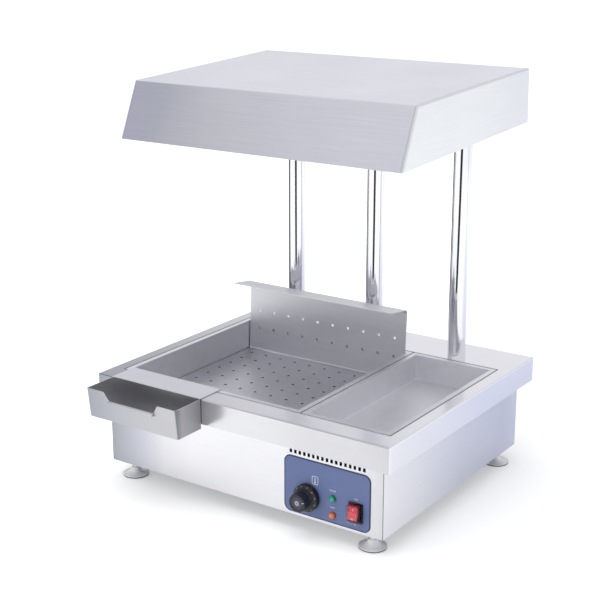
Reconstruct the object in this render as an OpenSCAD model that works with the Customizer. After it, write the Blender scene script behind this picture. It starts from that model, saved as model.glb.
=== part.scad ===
// Countertop chip warmer: a heated well with lift-out pans under a lamp hood on three posts.
// Millimetres, +Z up, the front faces -Y, and the origin is on the bench under the middle of the outline.

/* [Top frame] */
// Width of the top frame
frame_w = 580; // [540:1:700]
// Depth of the top frame, front to rear
frame_d = 500; // [470:1:600]
// Height of the skirt that hangs round the deck
skirt_h = 43; // [30:1:44]
// Thickness of the deck and skirt sheet
deck_t = 1.5; // [1:0.1:2]
// Outer radius of the bends round the deck
deck_r = 2.5; // [2.1:0.1:5]
// Width of the deck beside the pan opening
rim_side = 22; // [18:1:34]
// Width of the deck in front of the pan opening
rim_front = 40; // [40:1:60]
// Width of the deck behind the pan opening
rim_rear = 96; // [90:1:130]

/* [Body] */
// Height of the body, from its lower edge to the top of the deck
body_h = 160; // [158:1:200]
// How far the body's sides stand inside the skirt
side_inset = 16; // [8:1:24]
// How far the body's front stands inside the skirt
front_inset = 12; // [6:1:14]
// How far the body's rear stands inside the skirt
rear_inset = 29; // [16:1:36]
// Thickness of the body sheet
wall_t = 1.2; // [0.8:0.1:1.6]
// Height of the flange round the base plate
base_flange = 12; // [10:1:16]
// Width of the turned-in edges that take the rear screws
return_w = 14; // [12:1:18]

/* [Pans] */
// Gap round each pan at the deck
pan_gap = 2.5; // [1.5:0.1:3.5]
// Width of the flat rim round each pan
pan_rim = 9; // [8:0.5:12]
// Thickness of the pan sheet
pan_t = 1.2; // [0.8:0.1:1.5]
// Outer width of the small pan, over its rims
small_pan_w = 163; // [130:1:200]
// Depth of the small pan
small_pan_h = 47; // [35:1:60]
// Depth of the large pan
large_pan_h = 65; // [54:1:70]
// Radius of the pans' upright and lower corners
pan_r = 2.5; // [2:0.25:3.25]
// Gap under a lift-out piece where it rests
rest_gap = 0.3; // [0.2:0.1:0.5]
// Width of the ledge that carries the pans
ledge_w = 8; // [6:0.5:9]
// Depth of the heated well below the deck
well_h = 92; // [88:1:105]
// Thickness of the well sheet
well_t = 0.8; // [0.6:0.1:1.2]

/* [Guard plate] */
// Height of the guard's bend above the deck
guard_h = 80; // [50:1:110]
// Thickness of the guard sheet
guard_t = 1.5; // [1:0.1:2]
// Backward lean of the guard, in degrees
guard_lean = 3; // [0:0.5:3]
// Length of the handle flange along its top
guard_flange = 50; // [25:1:70]
// Rise of the handle flange, in degrees
guard_rise = 8; // [0:1:20]
// Outer radius of the guard's top bend
guard_r = 8; // [4:0.5:12]
// Side clearance of the guard in the large pan
guard_gap = 1.2; // [0.6:0.1:2]
// Height of the drain floor above the pan floor
drain_lift = 8; // [6:1:12]
// Diameter of the drain holes
drain_d = 5.2; // [3:0.1:7]
// Number of drain holes across the guard
drain_columns = 10; // [6:1:12]
// Distance between rows of drain holes
drain_pitch = 34; // [26:1:40]

/* [Seasoning bin] */
// How far the bin reaches in front of the top frame
bin_out = 68; // [50:1:90]
// Width of the bin
bin_w = 190; // [140:1:240]
// Height of the bin
bin_h = 51; // [36:1:60]
// How far the bin's front wall slopes in at the bottom
bin_slope = 6; // [0:1:12]
// Depth of the dip in the bin's front wall
dip_h = 15; // [6:1:18]
// Width of the dip at its bottom
dip_w = 96; // [60:1:120]
// Slope of the dip's ends, sideways
dip_run = 10; // [2:1:14]
// Outer radius of the bin's upright front bends
bin_r = 3; // [2:0.1:4]
// Clearance between the bin and the skirt
bin_gap = 1; // [0.5:0.1:2]

/* [Posts] */
// Diameter of the posts
post_d = 32; // [25:1:38]
// Wall thickness of the posts
post_t = 1.5; // [1:0.1:2.5]
// Distance between neighbouring posts
post_pitch = 172; // [140:1:200]
// Distance from the frame's rear edge to the posts' axes
post_back = 70; // [66:1:74]
// Diameter of the threaded nipple at each end of a post
nipple_d = 20; // [16:1:22]

/* [Hood] */
// Width of the hood
hood_w = 538; // [480:1:660]
// Depth of the hood along its lower edge
hood_d = 415; // [380:1:480]
// Height of the hood, square to its top
hood_h = 90; // [80:1:120]
// How far the hood's front slopes back over its height
hood_run = 45; // [20:1:70]
// Forward lean of the hood, in degrees
hood_tilt = 3; // [0:0.5:4]
// Height of the hood's rear lower edge above the deck
hood_lift = 420; // [340:5:520]
// Distance from the frame's rear edge to the hood's rear
hood_back = 29; // [20:1:36]
// Thickness of the hood sheet
hood_t = 1.2; // [0.8:0.1:1.6]
// Outer radius of the hood's bends
hood_r = 3.2; // [2.5:0.1:4]
// Width of the side panels' edge that shows on the front and top
seam_w = 4; // [4:0.5:10]
// Width of the hood's turned-in lower edge
hem_w = 12; // [8:1:16]
// How far the posts reach up into the hood
post_reach = 38; // [25:1:44]

/* [Heat lamps] */
// Distance between the two lamps
lamp_pitch = 244; // [200:1:300]
// Distance from the hood's rear edge to the lamps' axes
lamp_back = 245; // [200:1:280]
// Diameter of a lamp
lamp_d = 78; // [60:1:90]
// Length of a lamp with its screw cap
lamp_l = 100; // [90:1:115]
// Diameter of the lamp's screw cap
cap_d = 26; // [25.5:0.1:27]

/* [Controls] */
// Width of the control overlay
overlay_w = 160; // [150:1:180]
// Height of the control overlay
overlay_h = 96; // [92:1:98]
// Corner radius of the control overlay
overlay_r = 12; // [4:1:16]
// Distance from the overlay to the body's right side
overlay_side = 22; // [14:1:40]
// Distance from the overlay to the body's lower edge
overlay_low = 4.5; // [3:0.5:6]
// Diameter of the dial skirt
dial_d = 45; // [42:1:52]
// Diameter of the knob's grip
grip_d = 30; // [22:1:32]
// How far the knob stands out from the overlay
knob_out = 32; // [24:1:34]
// Diameter of the thermostat shaft
shaft_d = 6; // [5:0.5:8]
// Diameter of the pilot lenses
pilot_d = 12; // [10:0.5:16]
// Width of the switch bezel
switch_w = 26; // [24:1:30]
// Height of the switch bezel
switch_h = 33; // [31:1:38]
// Tilt of the rocker to each side, in degrees
rocker_tilt = 11; // [8:1:12]
// Number of vent slots above the overlay
vent_count = 17; // [9:2:19]
// Distance between neighbouring vent slots
vent_pitch = 8.46; // [7:0.02:9]

/* [Feet] */
// Height of the feet below the body
foot_h = 28; // [24:1:34]
// Diameter of the foot discs
foot_d = 45; // [36:1:48]
// Distance from the front foot axes to the body's sides
foot_inset = 31; // [20:1:50]
// Distance from the front foot axes to the body's front
foot_front = 23; // [20:1:50]
// Distance from the rear foot axes to the body's sides
foot_rear_inset = 20; // [16:1:50]
// Distance from the rear foot axes to the body's rear
foot_rear = 32; // [20:1:50]
// Diameter of the foot studs
stud_d = 10; // [8:1:12]
// How far each foot can be screwed in or out
foot_travel = 6; // [3:1:8]

/* [Heater] */
// Diameter of the heating element
element_d = 8; // [6:0.5:10]
// Distance between the element's runs
element_pitch = 76; // [60:1:80]
// Length of the element's straight runs
element_run = 400; // [340:1:420]

/* [Cord entry] */
// Bore of the cable gland
gland_bore = 9; // [6:0.5:10]
// Diameter of the gland's thread
gland_d = 20; // [18:1:22]

/* [Hidden] */
$fn = 64;
eps = 0.01;
over = 1;

// Clearances between pieces
fit_gap = 0.2;
run_gap = 0.05;
seam_gap = 0.4;

// Heights and depths that the pieces share
y_front = (bin_out - frame_d) / 2;
y_rear = y_front + frame_d;
deck_z = foot_h + body_h;
deck_low = deck_z - deck_t;
frame_y = (y_front + y_rear) / 2;
body_x = frame_w / 2 - side_inset;
body_y0 = y_front + front_inset;
body_y1 = y_rear - rear_inset;
body_y = (body_y0 + body_y1) / 2;
in_x = body_x - wall_t;
in_y0 = body_y0 + wall_t;
in_y1 = body_y1 - wall_t;

// Pan opening and what it carries
open_w = frame_w - 2 * rim_side;
open_d = frame_d - rim_front - rim_rear;
open_y0 = y_front + rim_front;
open_y1 = y_rear - rim_rear;
open_y = (open_y0 + open_y1) / 2;
lip_h = 10;
ledge_z = deck_z - pan_t - rest_gap;
ledge_leg = 14;
pan_d = open_d - 2 * pan_gap;
large_pan_w = open_w - 3 * pan_gap - small_pan_w;
large_x = -open_w / 2 + pan_gap + large_pan_w / 2;
small_x = open_w / 2 - pan_gap - small_pan_w / 2;
large_in_w = large_pan_w - 2 * pan_rim;
pan_in_y0 = open_y0 + pan_gap + pan_rim;
pan_in_y1 = open_y1 - pan_gap - pan_rim;
split_x = small_x - small_pan_w / 2 - pan_gap / 2;
divider_w = 2 * pan_rim + pan_gap - 2 * pan_t - 4;
divider_h = 10;
well_z = deck_z - well_h;
well_w = open_w - 2 * deck_t;
well_d = open_d - 2 * deck_t;
well_top = ledge_z - deck_t;

// Guard plate, whose drain floor ends clear of the bin's hook
sheet_t = 1.2;
hook_y = pan_in_y0 + rest_gap + sheet_t;
guard_w = large_in_w - 2 * guard_gap;
guard_foot_r = 5;
guard_slack = 0.8;
guard_z = deck_z - large_pan_h + pan_t + drain_lift + guard_foot_r * (1 - sin(guard_lean));
guard_up = (deck_z + guard_h - guard_r - guard_z) / cos(guard_lean);
guard_y = pan_in_y1 - guard_slack - (deck_z - guard_z) * tan(guard_lean);
drain_l = guard_y - guard_foot_r - hook_y - guard_gap;
drain_step = guard_w * 0.0965;
drain_top_row = deck_z + 23.5 - guard_z;
drain_floor_rows = floor((drain_l - 16) / drain_pitch);

// Seasoning bin
lip_out = 2.4;
bin_x0 = large_x - large_in_w / 2 + guard_gap;
bin_x = bin_x0 + bin_w / 2;
bin_front = y_front - bin_out + lip_out;
bin_rear = y_front - bin_gap;
bin_top = deck_z + rest_gap;
hook_h = 10;

// Posts and hood
post_y = y_rear - post_back;
hood_y = y_rear - hood_back;
hood_z = deck_z + hood_lift;
hood_slope = atan(hood_run / hood_h);
hood_in = hood_w / 2 - hood_t;
front_t = hood_t / cos(hood_slope);
function hood_low(y) = hood_z - (hood_y - y) * tan(hood_tilt);
function hood_top(y) = hood_z + hood_h * cos(hood_tilt)
    - (hood_y - hood_h * sin(hood_tilt) - y) * tan(hood_tilt);
post_top = hood_low(post_y) + post_reach;
post_l = post_top - deck_z;
plug_h = 6;
nipple_h = 16;
cable_d = 10;
rail_w = 44;
rail_h = 24;
rail_t = 2;
nut_h = 6;
nipple_af = nipple_d + 9;

// Lamps
lamp_y = hood_y - lamp_back;
bridge_w = 64;
bridge_h = 6;
bridge_t = 1.5;
bridge_z = hood_top(lamp_y - bridge_w / 2) - 2 * hood_t - bridge_h - 2;
holder_h = 34;
holder_d = 38;
cap_h = 25;
lamp_top = bridge_z - holder_h + cap_h - 2;
lamp_face_r = 62;
lamp_rim = 30;

// Controls
overlay_t = 0.8;
overlay_x = body_x - overlay_side - overlay_w / 2;
overlay_z = foot_h + overlay_low + overlay_h / 2;
face_y = body_y0 - overlay_t;
knob_x = overlay_x - 34.5;
knob_z = overlay_z - 14.5;
pilot_x = overlay_x + 12;
pilot_low = overlay_z - 34;
pilot_high = pilot_low + 28;
switch_x = overlay_x + 54;
switch_z = overlay_z - 18;
skirt_gap = 1.5;
dial_t = 11;
bush_d = shaft_d + 4;
bush_out = 4;
thermo_w = 42;
thermo_h = 34;
thermo_t = 18;
shaft_in = 9;
shaft_out = 22;
pilot_body_d = pilot_d - 3;
pilot_body_l = 22;
pilot_nut_af = pilot_body_d + 4;
bezel_t = 2.2;
switch_body_w = switch_w - 4;
switch_body_h = switch_h - 4;
switch_body_l = 20;
rocker_w = switch_body_w - 4;
rocker_r = switch_body_h / 2 - 1;
rocker_pin = 1.5;
cover_w = switch_w - 4;
cover_h = switch_h - 4;
cover_out = 12;
cover_wall = 0.8;
cover_r = 2.5;
pivot_in = 2.2;
pivot_y = face_y - bezel_t + pivot_in + 3;
vent_w = 4.8;
vent_h = 8.4;
vent_drop = 8.3;

// Feet, gland, screws
foot_x0 = body_x - foot_inset;
foot_x1 = body_x - foot_rear_inset;
foot_y0 = body_y0 + foot_front;
foot_y1 = body_y1 - foot_rear;
foot_places = [[-foot_x0, foot_y0], [foot_x0, foot_y0], [-foot_x1, foot_y1], [foot_x1, foot_y1]];
foot_nut_h = 8;
foot_nut_af = 1.7 * stud_d;
disc_t = 3;
dome_h = 11;
neck_d = stud_d + 5;
stud_top = foot_h + wall_t + foot_nut_h + foot_travel + 2;
poles = 5;
block_w = 55;
block_d = 22;
block_gap = 27;
block_x = post_pitch - block_gap - block_w / 2;
lead_d = 5;
lead_z = foot_h + wall_t + 5;
loom_d = 8;
loom_x = knob_x - 8;
sensor_d = 6;
sensor_l = 85;
sensor_x = knob_x + 10;
sensor_y = open_y0 + 60;
sensor_z = well_z - sensor_d / 2;
capillary_d = 2;
gland_x = 200;
gland_z = foot_h + 34;
gland_head = 18;
gland_tail = 9;
gland_af = gland_d + 4;
screw_d = 4;
screw_head = 7.6;
screw_l = 9;
rear_screws = concat(
    [for (s = [-1, 1], k = [0:2])
        [s * (in_x - return_w / 2), foot_h + base_flange + 18 + k * (body_h - base_flange - 42) / 2]],
    [for (s = [-1:1]) [s * 150, foot_h + base_flange / 2]]);
hood_screw_rows = [for (k = [0:2]) 16 + k * (hood_h - 32) / 2];

// Rectangle in the plane with four round corners
module rounded(w, d, r) {
    square([w - 2 * r, d], center = true);
    square([w, d - 2 * r], center = true);
    for (sx = [-1, 1], sy = [-1, 1])
        translate([sx * (w / 2 - r), sy * (d / 2 - r)]) circle(r);
}

// Upright rectangle with round upper corners, standing on the axis
module arched(w, h, r) {
    translate([-w / 2, 0]) square([w, h - r]);
    translate([-w / 2 + r, 0]) square([w - 2 * r, h]);
    for (s = [-1, 1]) translate([s * (w / 2 - r), h - r]) circle(r);
}

// Block with round upright corners and round upper edges
module soft_block(w, d, h, r) {
    intersection() {
        linear_extrude(h) rounded(w, d, r);
        rotate([90, 0, 0]) linear_extrude(d + over, center = true) arched(w, h, r);
        rotate([90, 0, 90]) linear_extrude(w + over, center = true) arched(d, h, r);
    }
}

// Box given by its lower corner and its upper corner
module block(a, b) {
    translate(a) cube(b - a);
}

// Runs a profile drawn as (y, z) along X, from x0 to x1
module along_x(x0, x1) {
    translate([x0, 0, 0]) rotate([90, 0, 90]) linear_extrude(x1 - x0) children();
}

// Turns an axis that points up so that it points to the front
module facing_front(x, y, z) {
    translate([x, y, z]) rotate([90, 0, 0]) children();
}

// Hexagon prism, given across its flats
module hex(af, h) {
    cylinder(h = h, d = af / cos(30), $fn = 6);
}

// Pan-head screw with a cross recess; its head stands on the plane and its shank runs down
module pan_screw() {
    difference() {
        union() {
            intersection() {
                translate([0, 0, -3.4]) sphere(r = 6);
                cylinder(h = 4, d = screw_head);
            }
            translate([0, 0, -screw_l]) cylinder(h = screw_l + eps, d = screw_d);
        }
        for (a = [0, 90])
            rotate([0, 0, a]) translate([-2, -0.5, 1.2]) cube([4, 1, 3]);
    }
}

// Holes for the feet and for air in the base, open at both faces
module base_cuts() {
    for (p = foot_places)
        translate([p[0], p[1], foot_h - over]) cylinder(h = wall_t + 2 * over, d = stud_d + 0.8);
    for (s = [-1, 1], k = [-3:3])
        translate([s * 110 - 35, body_y - 2 + k * 24, foot_h - over]) cube([70, 4, wall_t + 2 * over]);
}

module screw_holes(places, y0, y1) {
    for (p = places)
        translate([p[0], y1, p[1]]) rotate([90, 0, 0]) cylinder(h = y1 - y0, d = screw_d + fit_gap);
}

module base_plate() {
    color("lightgray")
        difference() {
            block([-in_x, in_y0, foot_h], [in_x, in_y1, foot_h + base_flange]);
            block([-in_x + wall_t, in_y0 + wall_t, foot_h + wall_t],
                [in_x - wall_t, in_y1 - wall_t, foot_h + base_flange + over]);
            base_cuts();
            block([pilot_x - pilot_nut_af, in_y0 - over, pilot_low - pilot_nut_af],
                [pilot_x + pilot_nut_af, in_y0 + wall_t + over, foot_h + base_flange + over]);
            screw_holes([for (s = [-1:1]) [s * 150, foot_h + base_flange / 2]],
                in_y1 - wall_t - over, in_y1 + over);
        }
}

// Round holes through the front for the thermostat, the pilots, and the switch's window
module control_cuts(y0, y1) {
    facing_front(knob_x, y1, knob_z) cylinder(h = y1 - y0, d = bush_d + fit_gap);
    for (z = [pilot_low, pilot_high])
        facing_front(pilot_x, y1, z) cylinder(h = y1 - y0, d = pilot_body_d + fit_gap);
    block([switch_x - (switch_body_w + fit_gap) / 2, y0, switch_z - (switch_body_h + fit_gap) / 2],
        [switch_x + (switch_body_w + fit_gap) / 2, y1, switch_z + (switch_body_h + fit_gap) / 2]);
}

module front_panel() {
    return_z = foot_h + base_flange + over;
    color("gainsboro")
        difference() {
            union() {
                block([-body_x, body_y0, foot_h], [body_x, in_y0, deck_low]);
                for (s = [-1, 1])
                    block([s * in_x - (s + 1) / 2 * wall_t, in_y0 - eps, return_z],
                        [s * in_x - (s - 1) / 2 * wall_t, in_y0 + return_w, deck_low]);
            }
            control_cuts(body_y0 - over, in_y0 + over);
            for (k = [0:vent_count - 1])
                translate([overlay_x + (k - (vent_count - 1) / 2) * vent_pitch - vent_w / 2, body_y0 - over,
                        deck_z - skirt_h - vent_drop - vent_h / 2])
                    cube([vent_w, wall_t + 2 * over, vent_h]);
        }
}

// Side panel on the right; the left one is its mirror image
module side_panel() {
    color("gainsboro")
        difference() {
            union() {
                block([in_x, in_y0, foot_h], [body_x, in_y1, deck_low]);
                block([in_x - return_w, in_y1 - wall_t, foot_h + base_flange + over],
                    [in_x + eps, in_y1, deck_low]);
            }
            screw_holes(rear_screws, in_y1 - wall_t - over, in_y1 + over);
        }
}

module right_panel() { side_panel(); }

module left_panel() { mirror([1, 0, 0]) side_panel(); }

module rear_panel() {
    color("gainsboro")
        difference() {
            block([-body_x, in_y1, foot_h], [body_x, body_y1, deck_low]);
            screw_holes(rear_screws, in_y1 - over, body_y1 + over);
            facing_front(gland_x, body_y1 + over, gland_z)
                cylinder(h = wall_t + 2 * over, d = gland_d + fit_gap);
            for (k = [-7:7])
                translate([k * 10 - 2 - 40, in_y1 - over, foot_h + 40]) cube([4, wall_t + 2 * over, 32]);
        }
}

// Places the posts' axes on the deck
module at_posts() {
    for (k = [-1:1]) translate([k * post_pitch, post_y, 0]) children();
}

module top_frame() {
    color("silver")
        difference() {
            union() {
                difference() {
                    translate([0, frame_y, deck_z - skirt_h]) soft_block(frame_w, frame_d, skirt_h, deck_r);
                    translate([0, frame_y, deck_z - skirt_h - over])
                        soft_block(frame_w - 2 * deck_t, frame_d - 2 * deck_t, skirt_h - deck_t + over,
                            deck_r - deck_t);
                }
                block([-open_w / 2 - deck_t, open_y0 - deck_t, deck_z - lip_h],
                    [open_w / 2 + deck_t, open_y1 + deck_t, deck_low + eps]);
            }
            block([-open_w / 2, open_y0, deck_z - lip_h - over], [open_w / 2, open_y1, deck_z + over]);
            at_posts() translate([0, 0, deck_z - 5]) cylinder(h = 10, d = nipple_d + 2 * fit_gap);
        }
}

module pan_ledge() {
    color("darkgray")
        difference() {
            block([-open_w / 2, open_y0, ledge_z - ledge_leg], [open_w / 2, open_y1, ledge_z]);
            block([-open_w / 2 + deck_t, open_y0 + deck_t, ledge_z - ledge_leg - over],
                [open_w / 2 - deck_t, open_y1 - deck_t, well_top]);
            block([-open_w / 2 + ledge_w, open_y0 + ledge_w, ledge_z - ledge_leg],
                [open_w / 2 - ledge_w, open_y1 - ledge_w, ledge_z + over]);
        }
}

// Channel that closes the gap between the pans and carries their inner rims
module divider_bar() {
    y0 = open_y0 + ledge_w;
    y1 = open_y1 - ledge_w;
    color("darkgray")
        difference() {
            block([split_x - divider_w / 2, y0, ledge_z - divider_h], [split_x + divider_w / 2, y1, ledge_z]);
            block([split_x - divider_w / 2 + deck_t, y0 - over, ledge_z - divider_h - over],
                [split_x + divider_w / 2 - deck_t, y1 + over, ledge_z - deck_t]);
        }
}

// Ends of the heating element, where they pass down through the well's floor
element_r = element_pitch / 2;
element_z = well_z + well_t + 14;
elbow_r = 12;
element_y = [for (k = [0:3]) open_y + (k - 1.5) * element_pitch];
element_end_x = -element_run / 2 - elbow_r;

module heated_well() {
    color("gray")
        difference() {
            block([-well_w / 2, open_y - well_d / 2, well_z], [well_w / 2, open_y + well_d / 2, well_top]);
            block([-well_w / 2 + well_t, open_y - well_d / 2 + well_t, well_z + well_t],
                [well_w / 2 - well_t, open_y + well_d / 2 - well_t, well_top + over]);
            for (y = [element_y[0], element_y[3]])
                translate([element_end_x, y, well_z - over])
                    cylinder(h = well_t + 2 * over, d = element_d + 2);
        }
}

module heating_element() {
    tail = 22;
    color("dimgray") {
        for (y = element_y)
            translate([-element_run / 2, y, element_z]) rotate([0, 90, 0])
                cylinder(h = element_run, d = element_d);
        for (k = [0, 2])
            translate([element_run / 2, element_y[k] + element_r, element_z])
                rotate([0, 0, -90])
                    rotate_extrude(angle = 180) translate([element_r, 0]) circle(d = element_d);
        translate([-element_run / 2, element_y[1] + element_r, element_z])
            rotate([0, 0, 90]) rotate_extrude(angle = 180) translate([element_r, 0]) circle(d = element_d);
        for (y = [element_y[0], element_y[3]]) {
            translate([-element_run / 2, y, element_z - elbow_r]) rotate([90, 0, 0])
                rotate([0, 0, 90]) rotate_extrude(angle = 90) translate([elbow_r, 0]) circle(d = element_d);
            translate([element_end_x, y, well_z - tail])
                cylinder(h = element_z - elbow_r - well_z + tail, d = element_d);
        }
    }
}

// Saddles that hold the element's runs above the well's floor
module element_clips() {
    clip_w = 16;
    clip_l = 12;
    color("silver")
        for (x = [-120, 120], y = element_y)
            difference() {
                block([x - clip_l / 2, y - clip_w / 2, well_z + well_t],
                    [x + clip_l / 2, y + clip_w / 2, element_z + element_d / 2 + 2]);
                translate([x - clip_l, y, element_z]) rotate([0, 90, 0])
                    cylinder(h = 2 * clip_l, d = element_d + fit_gap);
                block([x - clip_l, y - clip_w / 2 + 1.5, well_z],
                    [x + clip_l, y + clip_w / 2 - 1.5, element_z - element_d / 2 - 1.5]);
            }
}

// Channel under the rear of the deck that the posts stand on
module post_rail() {
    color("darkgray")
        difference() {
            block([-in_x + 20, post_y - rail_w / 2, deck_low - rail_h],
                [in_x - 20, post_y + rail_w / 2, deck_low]);
            block([-in_x + 10, post_y - rail_w / 2 + rail_t, deck_low - rail_h - over],
                [in_x - 10, post_y + rail_w / 2 - rail_t, deck_low - rail_t]);
            at_posts() translate([0, 0, deck_low - rail_h])
                cylinder(h = 2 * rail_h, d = nipple_d + 2 * fit_gap);
        }
}

// Hollow post with a plugged and threaded end above and below; the lamp cables run inside
module post(k) {
    color("whitesmoke")
        translate([k * post_pitch, post_y, deck_z])
            difference() {
                union() {
                    cylinder(h = post_l, d = post_d);
                    translate([0, 0, -nipple_h]) cylinder(h = post_l + 2 * nipple_h, d = nipple_d);
                }
                translate([0, 0, plug_h]) cylinder(h = post_l - 2 * plug_h, d = post_d - 2 * post_t);
                translate([0, 0, -nipple_h - over])
                    cylinder(h = post_l + 2 * nipple_h + 2 * over, d = cable_d);
            }
}

module post_left() { post(-1); }
module post_centre() { post(0); }
module post_right() { post(1); }

module post_nut() {
    difference() {
        hex(nipple_af, nut_h);
        translate([0, 0, -over]) cylinder(h = nut_h + 2 * over, d = nipple_d + 2 * run_gap);
    }
}

module post_lower_nuts() {
    color("silver") at_posts() translate([0, 0, deck_low - rail_t - nut_h]) post_nut();
}

module post_upper_nuts() {
    color("silver") at_posts() translate([0, 0, post_top + rail_t]) post_nut();
}

// Places a piece in the hood's own frame: its rear lower edge on the origin, the front at -Y
module in_hood() {
    translate([0, hood_y, hood_z]) rotate([hood_tilt, 0, 0]) children();
}

// Side view of the hood as (y, z), drawn in from its top and front by inset, and run on at its open edges
module hood_outline(inset, run_on = 0) {
    r = hood_r - inset;
    nose_y = -hood_d + hood_run * (hood_h - hood_r) / hood_h + hood_r / cos(hood_slope);
    nose_z = hood_h - hood_r;
    foot_y = -hood_d + inset / cos(hood_slope) - hood_run * run_on / hood_h;
    polygon([
        [run_on, -run_on], [run_on, nose_z + r], [nose_y, nose_z + r],
        [nose_y - r * cos(hood_slope), nose_z + r * sin(hood_slope)], [foot_y, -run_on]
    ]);
    translate([nose_y, nose_z]) circle(r);
}

// The hood's body with round front and upper corners, drawn in all round by inset
module hood_body(inset, run_on = 0) {
    w = hood_w - 2 * inset;
    r = hood_r - inset;
    intersection() {
        along_x(-w / 2, w / 2) hood_outline(inset, run_on);
        rotate([-hood_slope, 0, 0]) translate([0, hood_d * (1 - cos(hood_slope)) + inset, -hood_d])
            linear_extrude(2 * hood_d) rounded(w, 2 * hood_d, r);
        translate([0, hood_d, -run_on]) rotate([90, 0, 0])
            linear_extrude(3 * hood_d) arched(w, hood_h - inset + run_on, r);
    }
}

// Band of sheet along the hood's top and front, between two insets, ending before the rear
module hood_band(outer, inner, rear) {
    difference() {
        hood_outline(outer);
        hood_outline(inner);
        translate([-hood_d, -over]) square([2 * hood_d, over + eps]);
        translate([-rear, -over]) square([hood_d, 2 * hood_h]);
        translate([-hem_w, -over]) square([2 * hem_w, hood_h - 3 * hood_t + over]);
    }
}

module hood_skin() {
    half = hood_w / 2 - seam_w - seam_gap;
    color("silver")
        in_hood() {
            along_x(-half, half) hood_band(0, hood_t, 0);
            along_x(-half, half) translate([-hood_d + front_t, 0]) square([hem_w, hood_t]);
        }
}

// Hood side on the right, with the edges that it turns in under the skin; the left is its mirror image
module hood_side() {
    color("silver")
        in_hood() {
            difference() {
                union() {
                    intersection() {
                        difference() {
                            hood_body(0);
                            hood_body(hood_t, over);
                        }
                        block([hood_w / 2 - seam_w, -hood_d, 0], [hood_w / 2, 0, hood_h]);
                    }
                    along_x(hood_w / 2 - 3 * seam_w, hood_in + eps)
                        difference() {
                            hood_band(hood_t, 2 * hood_t, 2 * hood_t);
                            translate([-hood_d, -over]) square([hood_d, 2 * hood_t + over]);
                        }
                    block([hood_in - return_w, -2 * hood_t, 2 * hood_t],
                        [hood_in + eps, -hood_t, hood_h - 3 * hood_t]);
                    block([hood_w / 2 - hem_w, -hood_d + front_t + hem_w + 2 * seam_gap, 0],
                        [hood_in + eps, -hood_t, hood_t]);
                }
                screw_holes([for (z = hood_screw_rows) [hood_in - return_w / 2, z]],
                    -2 * hood_t - over, -hood_t + over);
            }
        }
}

module hood_right_side() { hood_side(); }

module hood_left_side() { mirror([1, 0, 0]) hood_side(); }

module hood_rear() {
    hem_x = hood_w / 2 - hem_w - seam_gap;
    color("silver")
        in_hood()
            difference() {
                union() {
                    intersection() {
                        block([-hood_in, -hood_t, 0], [hood_in, 0, hood_h - hood_t]);
                        hood_body(hood_t, over);
                    }
                    block([-hem_x, -hood_t - hem_w, 0], [hem_x, -hood_t + eps, hood_t]);
                }
                screw_holes([for (s = [-1, 1], z = hood_screw_rows) [s * (hood_in - return_w / 2), z]],
                    -hood_t - over, over);
            }
}

// Level channel welded between the hood's sides; the posts bolt to it
module hood_rail() {
    color("darkgray")
        difference() {
            block([-hood_in, post_y - rail_w / 2, post_top],
                [hood_in, post_y + rail_w / 2, post_top + rail_h]);
            block([-hood_in - over, post_y - rail_w / 2 + rail_t, post_top + rail_t],
                [hood_in + over, post_y + rail_w / 2 - rail_t, post_top + rail_h + over]);
            at_posts() translate([0, 0, post_top - over])
                cylinder(h = rail_t + 2 * over, d = nipple_d + 2 * fit_gap);
        }
}

// Level channel that carries the lamp holders
module lamp_bridge() {
    color("darkgray")
        difference() {
            block([-hood_in, lamp_y - bridge_w / 2, bridge_z],
                [hood_in, lamp_y + bridge_w / 2, bridge_z + bridge_h]);
            block([-hood_in - over, lamp_y - bridge_w / 2 + bridge_t, bridge_z + bridge_t],
                [hood_in + over, lamp_y + bridge_w / 2 - bridge_t, bridge_z + bridge_h + over]);
            for (s = [-1, 1]) {
                translate([s * lamp_pitch / 2, lamp_y, bridge_z - over])
                    cylinder(h = bridge_t + 2 * over, d = cable_d);
                block([s * post_pitch - lead_d, lamp_y + bridge_w / 2 - bridge_t - over, bridge_z + bridge_t],
                    [s * post_pitch + lead_d, lamp_y + bridge_w / 2 + over, bridge_z + bridge_h + over]);
            }
        }
}

// Ceramic holder with an open socket below; its base meets the bridge
module lamp_holder(s) {
    color("ivory")
        translate([s * lamp_pitch / 2, lamp_y, bridge_z - holder_h])
            difference() {
                union() {
                    cylinder(h = holder_h, d = holder_d);
                    translate([0, 0, holder_h - 6]) cylinder(h = 6, d = holder_d + 12);
                }
                translate([0, 0, -over]) cylinder(h = cap_h + over, d = cap_d + 2 * fit_gap);
            }
}

module lamp_holder_left() { lamp_holder(-1); }
module lamp_holder_right() { lamp_holder(1); }

// Screw caps of the two lamps, up in their holders
module lamp_caps() {
    color("goldenrod")
        for (s = [-1, 1])
            translate([s * lamp_pitch / 2, lamp_y, lamp_top - cap_h]) {
                cylinder(h = cap_h - 4, d = cap_d);
                translate([0, 0, cap_h - 4]) cylinder(h = 3, d1 = cap_d, d2 = 12);
                translate([0, 0, cap_h - 1]) cylinder(h = 1, d = 10);
            }
}

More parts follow.
